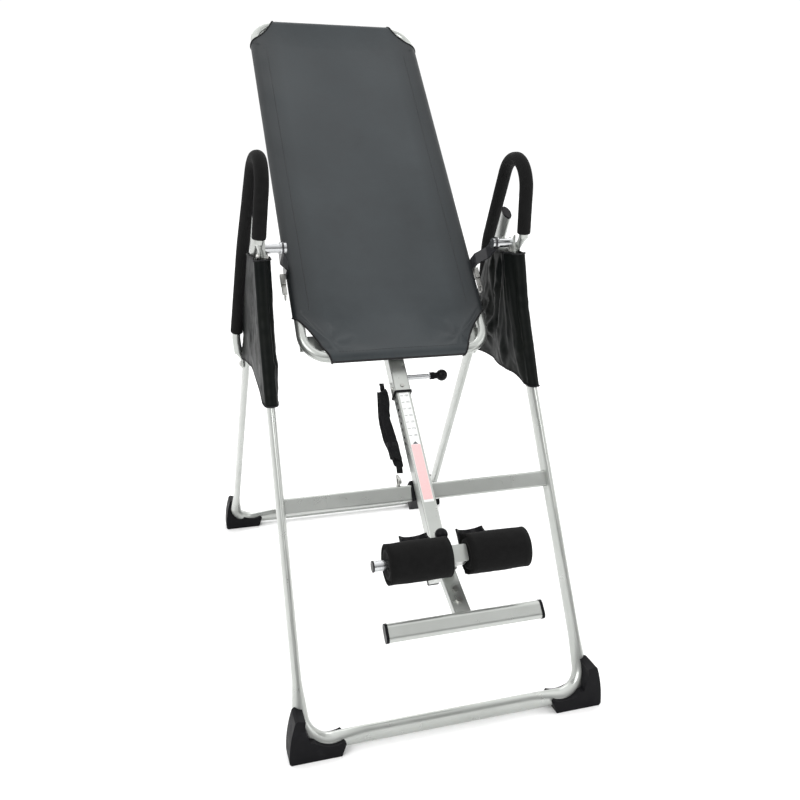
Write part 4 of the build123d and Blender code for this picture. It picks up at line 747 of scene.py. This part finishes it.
def cover_ring(z, share):
    """One level of the right cover: points round both legs, each with its part and place along it."""
    inner = COVER_INNER_X + (COVER_HEM_X - COVER_INNER_X) * max(0.0, 1 - share / 0.14)
    outer = along_table(COVER_OUTER, z)
    front_x = along_table(FRONT_LEG_X, z)
    rear_x = along_table(REAR_LEG_X, z)
    low_y = along_table(COVER_FRONT, z) + COVER_END_DEPTH
    high_y = along_table(COVER_REAR, z) - COVER_END_DEPTH
    ring = []

    def panel_x(y, side, middle_x):
        """X of a panel: close to the leg at each end, and out to the cover's full width between."""
        from_front = eased((y - low_y) / COVER_WIDEN)
        from_rear = eased((high_y - y) / COVER_WIDEN)
        near_front = front_x + side * COVER_END_HALF
        near_rear = rear_x + side * COVER_END_HALF
        if from_front < 1:
            return near_front + (middle_x - near_front) * from_front
        return near_rear + (middle_x - near_rear) * from_rear

    for index in range(PANEL_STEPS):
        y = low_y + (high_y - low_y) * index / PANEL_STEPS
        ring.append((panel_x(y, -1, inner), y, "inner", index / PANEL_STEPS))
    for index in range(END_STEPS):
        turn = math.pi * index / END_STEPS
        x = rear_x - COVER_END_HALF * math.cos(turn)
        ring.append((x, high_y + COVER_END_DEPTH * math.sin(turn), "rear", index / END_STEPS))
    for index in range(PANEL_STEPS):
        y = high_y + (low_y - high_y) * index / PANEL_STEPS
        ring.append((panel_x(y, 1, outer), y, "outer", index / PANEL_STEPS))
    for index in range(END_STEPS):
        turn = math.pi * index / END_STEPS
        x = front_x + COVER_END_HALF * math.cos(turn)
        ring.append((x, low_y - COVER_END_DEPTH * math.sin(turn), "front", index / END_STEPS))
    return ring


PANEL_STEPS = 66
END_STEPS = 14


def clear_of_grip(point):
    """Pushes a point of the cover inward until it clears the handle's foam grip."""
    room = GRIP_RADIUS + 0.0035
    for start, finish in zip(HANDLE_LINE, HANDLE_LINE[1:]):
        run = finish - start
        share = min(1.0, max(0.0, (point - start).dot(run) / run.length_squared))
        nearest = start + run * share
        away = point - nearest
        if away.length < room:
            side = math.sqrt(max(0.0, room ** 2 - away.y ** 2 - away.z ** 2))
            point = Vector((min(point.x, nearest.x - side), point.y, point.z))
    return point


# What a cover wraps, with how far each may stand out through its cloth before that is lifted.
WRAPPED_NODES = {
    "front_base_tube": 0.016, "rear_base_tube": 0.016, "front_braces": 0.034, "rear_braces": 0.034,
    "pivot_cradles": 0.016, "hinge_nuts": 0.016,
}
WRAP_ROOM = 0.0026
WRAP_SPREAD = 4
WRAP_FADE = 0.72


def lift_off_frame(cover):
    """Raises the cloth, with a slope round each place, wherever a wrapped part would show through it."""
    depsgraph = bpy.context.evaluated_depsgraph_get()
    vertices = cover.data.vertices
    outwards = [vertex.normal.copy() for vertex in vertices]
    rises = [0.0] * len(vertices)
    for node, reach in WRAPPED_NODES.items():
        tree = BVHTree.FromObject(frame["nodes"][node], depsgraph)
        for index, away in enumerate(outwards):
            hit = tree.ray_cast(vertices[index].co + away * reach, -away, reach + WRAP_ROOM)[3]
            if hit is not None:
                rises[index] = max(rises[index], reach + WRAP_ROOM - hit)
    for _ in range(WRAP_SPREAD):
        wider = list(rises)
        for edge in cover.data.edges:
            one, other = edge.vertices
            wider[one] = max(wider[one], rises[other] * WRAP_FADE)
            wider[other] = max(wider[other], rises[one] * WRAP_FADE)
        rises = wider
    for vertex, away, rise in zip(vertices, outwards, rises):
        vertex.co += away * rise


def build_cover(name, mirror, seed):
    rows = 64
    levels = [row / (rows - 1) for row in range(rows)]
    points = []
    pinned = []
    columns = 0
    for row, share in enumerate(levels):
        z = COVER_LOW + (COVER_TOP - COVER_LOW) * share
        ring = cover_ring(z, share)
        columns = len(ring)
        for x, y, part, along in ring:
            wave = noise.noise(Vector((y * 22, z * 22, seed)))
            fine = noise.noise(Vector((y * 60, z * 95, seed + 5)))
            fade = math.sin(math.pi * along) ** 0.6 if part in ("inner", "outer") else 0.0
            hem = min(1.0, share / 0.05)
            top = min(1.0, (1 - share) / 0.10)
            back = behind_front_edge(y, z)
            pocket = math.exp(-(((back - POCKET_BACK) / 0.003) ** 2)) * 0.0018
            ruffle = math.exp(-((back / 0.050) ** 2)) * 0.0030
            ripple = ruffle * noise.noise(Vector((y * 9, z * 62, seed + 2))) * (0.4 + 0.6 * (1 - share))
            dip = HEM_DIP * math.exp(-((back / 0.055) ** 2)) * (1 - share) ** 4
            if part == "inner":
                folds = fold_height(INNER_FOLDS, y, z) * (0.35 + 0.65 * hem) * top
                x -= (folds + wave * 0.003) * fade + fine * 0.0012 - pocket + ripple
            elif part == "outer":
                folds = fold_height(OUTER_FOLDS, y, z) * (0.35 + 0.65 * hem) * top
                hollow = 0.003 * math.sin(math.pi * along)
                x += (folds + wave * 0.002 - hollow) * fade + fine * 0.001 - pocket + ripple
            elif part == "front":
                y -= ripple + fine * 0.001
            else:
                y += fine * 0.0012
            arch = 0.010 * math.sin(math.pi * min(1.0, max(0.0, (y + 0.23) / 0.43))) * (1 - share) ** 6
            gather = 0.004 * noise.noise(Vector((x * 30, y * 50, seed + 9))) * share ** 8
            place = clear_of_grip(Vector((x, y, z + arch + gather - dip)))
            if row == rows - 1 or part in ("front", "rear") or row == 0 and fade < 0.3:
                pinned.append(len(points))
            points.append(Vector((place.x * mirror, place.y, place.z)))
    faces = grid_faces(rows, columns, closed=True)
    cover = mesh_object(name, points, faces, COVER_NYLON)
    outward(cover)
    settle_cloth(cover, pinned, slack=-0.006, bending=1.2, gravity=0.5)
    lift_off_frame(cover)
    places = [vertex.co.copy() for vertex in cover.data.vertices]
    bottom = places[:columns]
    top_edge = places[(rows - 1) * columns:]
    thick = cover.modifiers.new("cloth_thickness", "SOLIDIFY")
    thick.thickness = 0.0009
    thick.offset = -1
    apply_modifiers(cover)
    cover.data.shade_smooth()
    trims = []
    for label, route, radius in (("hem", bottom, 0.0017), ("drawstring", top_edge, 0.0022)):
        trim = tube_along(f"{name}_{label}", route, radius, BINDING, sides=8, closed=True)
        trims.append(trim)
    for piece in [cover, *trims]:
        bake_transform(piece)


# =====================================================================================
# Foam grips and rollers
# =====================================================================================
def skin_tube(name, route, profile, material, sides=40):
    """Tube whose radius follows profile(distance from the start, whole length)."""
    lengths = [0.0]
    for before, after in zip(route, route[1:]):
        lengths.append(lengths[-1] + (after - before).length)
    total = lengths[-1]
    rings = []
    reference = None
    for index, point in enumerate(route):
        before = route[max(0, index - 1)]
        after = route[min(len(route) - 1, index + 1)]
        along = (after - before).normalized()
        if reference is None:
            reference = along.orthogonal().normalized()
        reference = (reference - along * reference.dot(along)).normalized()
        binormal = along.cross(reference)
        radius = profile(lengths[index], total)
        for side in range(sides):
            angle = 2 * math.pi * side / sides
            swell = 1 + 0.010 * noise.noise(point * 34 + Vector((math.cos(angle), math.sin(angle), 0)) * 0.5)
            rings.append(point + (reference * math.cos(angle) + binormal * math.sin(angle)) * radius * swell)
    faces = grid_faces(len(route), sides, closed=True)
    faces.append(tuple(range(sides))[::-1])
    faces.append(tuple((len(route) - 1) * sides + side for side in range(sides)))
    made = mesh_object(name, rings, faces, material)
    outward(made)
    made.data.shade_smooth()
    made.data.set_sharp_from_angle(angle=math.radians(50))
    return made


GRIP_END_ROUND = 0.004
TUBE_RADIUS = 0.0112


def grip_radius(distance, total):
    """Foam radius, rounded over at each cut end."""
    end = min(distance, total - distance)
    if end < GRIP_END_ROUND:
        share = 1 - end / GRIP_END_ROUND
        return GRIP_RADIUS - GRIP_END_ROUND * (1 - math.sqrt(max(0.0, 1 - share ** 2)))
    return GRIP_RADIUS


def build_grips():
    start = Vector(GRIP_ROUTE[0]).lerp(Vector(GRIP_ROUTE[1]), 0.055)
    finish = Vector(GRIP_ROUTE[3]).lerp(Vector(GRIP_ROUTE[4]), 0.935)
    line = rounded_path([start, *GRIP_ROUTE[1:4], finish], GRIP_BENDS[:3], step=0.004)
    for side, name in ((1, "right"), (-1, "left")):
        route = [Vector((point.x * side, point.y, point.z)) for point in line]
        ends = []
        for edge, inside in ((route[0], route[1]), (route[-1], route[-2])):
            along = (inside - edge).normalized()
            ends.append([edge + along * (GRIP_END_ROUND * share) for share in (0, 0.08, 0.25, 0.5, 0.75)])
        full = ends[0] + route[2:-2] + ends[1][::-1]
        grip = skin_tube(f"foam_grip_{name}", full, grip_radius, GRIP_FOAM)
        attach(grip, "rear_frame")
        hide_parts(f"handle_grip_{name}")


AXLE_POINT = Vector(JOINTS["roller_left_spin"]["pos_m"])
ROLLER_IN = 0.020
ROLLER_OUT = 0.151
ROLLER_RADIUS = 0.0425
ROLLER_SIDES = 72


def roller_profile():
    """Half section of a roller as (x from its inner end, radius): hub hole, recess, rim and barrel."""
    length = ROLLER_OUT - ROLLER_IN
    rim = 0.0075
    half = [(0.003, 0.0113), (0.003, 0.0135), (0.0042, 0.0150), (0.0030, 0.0215), (0.0012, 0.0255)]
    half.append((0.0, ROLLER_RADIUS - rim - 0.004))
    for step in range(7):
        turn = math.pi / 2 * step / 6
        drop = rim * (1 - math.cos(math.pi / 2 - turn))
        half.append((rim * (1 - math.sin(turn)), ROLLER_RADIUS - drop - 0.0004))
    barrel = []
    for step in range(1, 24):
        x = rim + (length - 2 * rim) * step / 24
        barrel.append((x, ROLLER_RADIUS - 0.0004 - 0.0007 * math.cos(2 * math.pi * (x / length))))
    return half + barrel + [(length - x, radius) for x, radius in reversed(half)]


def build_rollers():
    profile = roller_profile()
    for side, name in ((-1, "left"), (1, "right")):
        points = []
        for x, radius in profile:
            for index in range(ROLLER_SIDES):
                angle = 2 * math.pi * index / ROLLER_SIDES
                place = Vector((side * (ROLLER_IN + x), math.cos(angle) * radius, math.sin(angle) * radius))
                if radius > 0.03:
                    lump = noise.noise(place * 45 + Vector((side * 3, 0, 0))) * 0.0006
                    lump += noise.noise(place * 160) * 0.00025
                    place += Vector((0, math.cos(angle), math.sin(angle))) * lump
                points.append(AXLE_POINT + place)
        faces = grid_faces(len(profile), ROLLER_SIDES, closed=True)
        last = (len(profile) - 1) * ROLLER_SIDES
        for index in range(ROLLER_SIDES):
            after = (index + 1) % ROLLER_SIDES
            faces.append((last + index, last + after, after, index))
        roller = mesh_object(f"foam_roller_{name}", points, faces, ROLLER_FOAM)
        outward(roller)
        roller.data.shade_smooth()
        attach(roller, f"roller_{name}")
        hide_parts(f"ankle_roller_{name}")


# =====================================================================================
# Tether: a long webbing strap folded up into a bundle, tied twice
# =====================================================================================
TETHER_TOP = bed_point(0, -0.262, -0.090)
TETHER_LOW = bed_point(0, -0.506, -0.082)
TETHER_RUN = TETHER_LOW - TETHER_TOP
TETHER_DOWN = TETHER_RUN.normalized()
TETHER_OUT = TETHER_DOWN.cross(ACROSS).normalized()
TETHER_X = -0.037
WEB_WIDTH = 0.022
WEB_THICK = 0.0016
TIES = (0.36, 0.70)


def tether_point(x, share, n):
    return TETHER_TOP + TETHER_RUN * share + ACROSS * (TETHER_X + x) + TETHER_OUT * n


# Section of a strap, in half widths and half thicknesses, with its edges eased.
RIBBON_SECTION = (
    (-1, -0.6), (-0.9, -1), (0.9, -1), (1, -0.6), (1, 0.6), (0.9, 1), (-0.9, 1), (-1, 0.6),
)


def ribbon(name, route, widths, width, thickness, material):
    """Flat strap along a list of points, with the direction of its width at each point."""
    rings = []
    for index, point in enumerate(route):
        along = (route[min(len(route) - 1, index + 1)] - route[max(0, index - 1)]).normalized()
        wide = (widths[index] - along * widths[index].dot(along)).normalized()
        flat = along.cross(wide)
        for across, through in RIBBON_SECTION:
            rings.append(point + wide * (across * width / 2) + flat * (through * thickness / 2))
    faces = grid_faces(len(route), 8, closed=True)
    faces.append(tuple(range(8))[::-1])
    faces.append(tuple((len(route) - 1) * 8 + side for side in range(8)))
    made = mesh_object(name, rings, faces, material)
    outward(made)
    return made


def smooth_route(points, samples):
    """Catmull-Rom curve through given points."""
    out = []
    for index in range(len(points) - 1):
        a = points[max(0, index - 1)]
        b = points[index]
        c = points[index + 1]
        d = points[min(len(points) - 1, index + 2)]
        for step in range(samples):
            t = step / samples
            square = 2 * a - 5 * b + 4 * c - d
            cube = 3 * b - a - 3 * c + d
            out.append(0.5 * (2 * b + (c - a) * t + square * t ** 2 + cube * t ** 3))
    out.append(points[-1])
    return out


# Along the bundle: share of its length, middle across, half width of the loops and half depth.
BUNDLE = (
    (0.10, 0.004, 0.5, 0.006), (0.24, 0.000, 0.9, 0.010), (0.42, -0.007, 1.0, 0.013),
    (0.58, -0.004, 1.1, 0.013), (0.72, 0.001, 0.8, 0.009), (0.86, 0.004, 0.7, 0.007),
    (0.95, 0.006, 0.6, 0.006),
)


def bundle_at(share, column):
    table = [(row[0], row[column]) for row in BUNDLE]
    return along_table(table, max(share, table[0][0]))


def build_tether():
    """The strap goes up and down in loose loops of uneven length, then is tied twice."""
    draws = random.Random(SEED)
    layers = 8
    knots = []
    tilts = []
    for layer in range(layers):
        depth = -1 + 2 * layer / (layers - 1)
        top = 0.13 + draws.uniform(-0.04, 0.10)
        low = 0.86 + draws.uniform(-0.10, 0.08)
        ends = (top, low) if layer % 2 == 0 else (low, top)
        sway = draws.uniform(-0.0035, 0.0035)
        lean = draws.uniform(-0.5, 0.5)
        for share in (0.0, 0.14, 0.30, 0.46, 0.62, 0.80, 1.0):
            at = ends[0] + (ends[1] - ends[0]) * share
            pinch = 1 - sum(0.40 * math.exp(-(((at - tie) / 0.05) ** 2)) for tie in TIES)
            middle = bundle_at(at, 1) + sway + 0.0030 * noise.noise(Vector((at * 9, layer * 3.1, 0)))
            wave = 0.0035 * noise.noise(Vector((at * 13, layer * 2.3, 5)))
            knots.append(tether_point(middle, at, (bundle_at(at, 3) * depth + wave) * pinch))
            tilts.append(lean + 0.6 * noise.noise(Vector((at * 7, layer * 1.7, 9))))
    steps = 5
    route = smooth_route(knots, steps)
    widths = []
    for index in range(len(route)):
        low = min(len(tilts) - 2, index // steps)
        turn = tilts[low] + (tilts[low + 1] - tilts[low]) * (index / steps - low)
        widths.append(ACROSS * math.cos(turn) + TETHER_OUT * math.sin(turn))
    bundle = ribbon("tether_webbing", route, widths, WEB_WIDTH, WEB_THICK, WEBBING)
    tail_knots = [
        tether_point(0.002, 0.72, 0.004), tether_point(0.004, 0.84, 0.003), tether_point(0.005, 0.94, 0.001),
        tether_point(0.004, 1.0, 0.0),
    ]
    tail = smooth_route(tail_knots, 8)
    end = ribbon("tether_tail", tail, [ACROSS] * len(tail), 0.015, WEB_THICK, WEBBING)
    hanger_knots = [
        tether_point(0.004, 0.004, 0.001), tether_point(0.003, 0.06, 0.004),
        tether_point(0.003, 0.11, -0.002), tether_point(0.0, 0.22, 0.003),
    ]
    hanger = smooth_route(hanger_knots, 8)
    hanger_widths = [ACROSS + TETHER_OUT * 0.9 * math.sin(index * 0.3) for index in range(len(hanger))]
    loop = ribbon("tether_hanger", hanger, hanger_widths, 0.012, WEB_THICK, WEBBING)
    pieces = [bundle, end, loop]
    for number, at in enumerate(TIES):
        band = []
        widths = []
        for step in range(41):
            turn = 2 * math.pi * step / 40
            middle = bundle_at(at, 1)
            across = middle + (0.0128 + 0.001 * math.sin(3 * turn)) * math.cos(turn)
            band.append(tether_point(across, at + 0.012 * math.sin(turn + number), 0.0100 * math.sin(turn)))
            widths.append(TETHER_DOWN)
        tie = ribbon(f"tether_band_{number}", band, widths, 0.012, 0.0018, BINDING)
        pieces.append(tie)
    for piece in pieces:
        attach(piece, "tether")
    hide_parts("tether_strap")


# =====================================================================================
# Height scale: printed ticks, plain numbers, an arrow and a rose block
# =====================================================================================
LABEL_FACE = BOOM_HALF + 0.0003
INK = 0.00015
HOLE_PITCH = 0.018
FIRST_TICK = 0.0145
ARROW_TIP = 0.1385
BLOCK_TOP = 0.1465
BLOCK_LOW = 0.2860
BLOCK_HALF = 0.0112


def ink_plate(name, outline, material):
    """Flat printed shape: outline points are (x, u) on the boom's face."""
    count = len(outline)
    low = [boom_point(x, LABEL_FACE - 0.00005, u) for x, u in outline]
    high = [boom_point(x, LABEL_FACE + INK, u) for x, u in outline]
    faces = [tuple(range(count)), tuple(range(count, 2 * count))[::-1]]
    for index in range(count):
        after = (index + 1) % count
        faces.append((index, after, count + after, count + index))
    made = mesh_object(name, low + high, faces, material, smooth=False)
    outward(made)
    return made


def ink_box(name, x0, x1, u0, u1, material):
    return ink_plate(name, [(x0, u0), (x1, u0), (x1, u1), (x0, u1)], material)


def ink_number(name, text, x, u, size):
    """A plain number, read with the top of the boom upward."""
    curve = bpy.data.curves.new(name, "FONT")
    curve.body = text
    curve.size = size
    curve.extrude = INK / 2
    curve.align_x = "CENTER"
    curve.align_y = "CENTER"
    made = bpy.data.objects.new(name, curve)
    frame_axes = Matrix((ACROSS, -BOOM_DOWN, BOOM_FRONT)).transposed()
    made.matrix_world = Matrix.Translation(boom_point(x, LABEL_FACE + INK / 2, u)) @ frame_axes.to_4x4()
    bpy.context.scene.collection.objects.link(made)
    bpy.context.view_layer.update()
    graph = bpy.context.evaluated_depsgraph_get()
    mesh = bpy.data.meshes.new_from_object(made.evaluated_get(graph))
    mesh.transform(made.matrix_world)
    bpy.data.objects.remove(made)
    number = bpy.data.objects.new(name, mesh)
    bpy.context.scene.collection.objects.link(number)
    mesh.materials.clear()
    mesh.materials.append(LABEL_BLACK)
    return number


def join_pieces(name, pieces):
    for chosen in bpy.context.selected_objects:
        chosen.select_set(False)
    for piece in pieces:
        piece.select_set(True)
    bpy.context.view_layer.objects.active = pieces[0]
    bpy.ops.object.join()
    pieces[0].name = name
    return pieces[0]


FIRST_HEIGHT_CM = 150
HEIGHT_STEP_CM = 5


def build_scale_print():
    marks = []
    for index in range(7):
        u = FIRST_TICK + HOLE_PITCH * index
        marks.append(ink_box("tick", -0.0105, -0.0035, u - 0.0005, u + 0.0005, LABEL_BLACK))
        marks.append(ink_number("number", str(FIRST_HEIGHT_CM + HEIGHT_STEP_CM * index), 0.0048, u, 0.0062))
    foot = BLOCK_TOP - 0.0012
    marks.append(ink_plate("arrow", [(0.0, ARROW_TIP), (0.0065, foot), (-0.0065, foot)], LABEL_BLACK))
    printed = join_pieces("scale_print", marks)
    block = ink_box("scale_rose_block", -BLOCK_HALF, BLOCK_HALF, BLOCK_TOP, BLOCK_LOW, LABEL_ROSE)
    for piece in (printed, block):
        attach(piece, "boom")


# =====================================================================================
# Knurled black collar on the height pin
# =====================================================================================
COLLAR_START_X = 0.0816
COLLAR_END_X = 0.0944
COLLAR_RADIUS = 0.0088
COLLAR_TEETH = 28
PIN_POINT = boom_point(0, 0, -0.046)


def build_collar():
    length = COLLAR_END_X - COLLAR_START_X
    sides = COLLAR_TEETH * 4
    points = []
    profile = (
        (0, 0.0076), (0, 0.0080), (0.0008, COLLAR_RADIUS),
        (length - 0.0008, COLLAR_RADIUS), (length, 0.0080), (length, 0.0076),
    )
    for x, radius in profile:
        for index in range(sides):
            angle = 2 * math.pi * index / sides
            tooth = 0.0004 * math.cos(angle * COLLAR_TEETH) if radius == COLLAR_RADIUS else 0
            across = BOOM_FRONT * math.cos(angle) + BOOM_DOWN * math.sin(angle)
            points.append(PIN_POINT + ACROSS * (COLLAR_START_X + x) + across * (radius + tooth))
    faces = grid_faces(len(profile), sides, closed=True)
    last = (len(profile) - 1) * sides
    for index in range(sides):
        following = (index + 1) % sides
        faces.append((last + index, last + following, following, index))
    collar = mesh_object("height_pin_collar", points, faces, PLASTIC, smooth=False)
    outward(collar)
    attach(collar, "height_pin")


# =====================================================================================
# Build everything
# =====================================================================================
finish_cad_nodes()
darken_inside_boom(frame["nodes"]["boom"])
build_bed_fabric()
build_cover("leg_cover_right", 1, 2.0)
build_cover("leg_cover_left", -1, 11.0)
for body_side in ("right", "left"):
    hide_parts(f"side_cover_{body_side}")
build_grips()
build_rollers()
build_tether()
build_scale_print()
build_collar()


# =====================================================================================
# Floor, light and camera
# =====================================================================================
ROOM_DARK = 0.30
CEILING = 0.85


def build_stage():
    bpy.ops.mesh.primitive_circle_add(vertices=96, radius=40, fill_type="NGON", location=(0, 0, -0.0005))
    floor = bpy.context.active_object
    floor.name = "studio_floor"
    paper = bpy.data.materials.new("studio_paper")
    paper.use_nodes = True
    shader = paper.node_tree.nodes["Principled BSDF"]
    shader.inputs["Base Color"].default_value = (0.97, 0.97, 0.97, 1)
    shader.inputs["Roughness"].default_value = 1.0
    shader.inputs["Specular IOR Level"].default_value = 0.0
    floor.data.materials.append(paper)
    world = bpy.data.worlds.new("studio_world")
    world.use_nodes = True
    nodes = world.node_tree.nodes
    links = world.node_tree.links
    back = nodes["Background"]
    back.inputs["Color"].default_value = (1, 1, 1, 1)
    split = nodes.new("ShaderNodeSeparateXYZ")
    links.new(nodes.new("ShaderNodeTexCoord").outputs["Generated"], split.inputs["Vector"])
    # The backdrop is white, the studio behind the camera is darker and the ceiling is bright.
    room = nodes.new("ShaderNodeMapRange")
    for socket, number in (("From Min", -0.55), ("From Max", 0.25), ("To Min", ROOM_DARK), ("To Max", 1.05)):
        room.inputs[socket].default_value = number
    links.new(split.outputs["Y"], room.inputs["Value"])
    ceiling = nodes.new("ShaderNodeMapRange")
    for socket, number in (("From Min", 0.25), ("From Max", 0.85), ("To Min", 0.0), ("To Max", CEILING)):
        ceiling.inputs[socket].default_value = number
    links.new(split.outputs["Z"], ceiling.inputs["Value"])
    total = nodes.new("ShaderNodeMath")
    total.operation = "ADD"
    links.new(room.outputs["Result"], total.inputs[0])
    links.new(ceiling.outputs["Result"], total.inputs[1])
    links.new(total.outputs["Value"], back.inputs["Strength"])
    bpy.context.scene.world = world


def area_light(name, place, aim, size, power):
    light = bpy.data.lights.new(name, "AREA")
    light.shape = "RECTANGLE"
    light.size = size[0]
    light.size_y = size[1]
    light.energy = power
    lamp = bpy.data.objects.new(name, light)
    lamp.location = place
    lamp.rotation_euler = (Vector(aim) - Vector(place)).to_track_quat("-Z", "Y").to_euler()
    bpy.context.scene.collection.objects.link(lamp)


def build_camera():
    camera_data = bpy.data.cameras.new("camera")
    camera_data.sensor_width = 36.0
    camera_data.lens = 36.4545
    camera = bpy.data.objects.new("camera", camera_data)
    yaw = math.radians(-16.446)
    pitch = math.radians(90 - 15.768)
    roll = math.radians(0.062)
    turn = Matrix.Rotation(yaw, 4, "Z") @ Matrix.Rotation(pitch, 4, "X") @ Matrix.Rotation(roll, 4, "Z")
    camera.matrix_world = Matrix.Translation((-0.544, -2.0209, 1.193)) @ turn
    bpy.context.scene.collection.objects.link(camera)
    bpy.context.scene.camera = camera


build_stage()
area_light("key_light", (-2.2, -2.6, 3.2), (0, 0, 0.8), (2.0, 2.0), 60)
area_light("fill_light", (2.8, -1.6, 2.0), (0, 0, 0.8), (1.6, 2.4), 25)
area_light("rim_light", (0.5, 2.8, 2.8), (0, 0, 0.8), (2.4, 1.2), 30)
build_camera()
bpy.context.scene.view_settings.view_transform = "Standard"
bpy.context.scene.view_settings.look = "None"
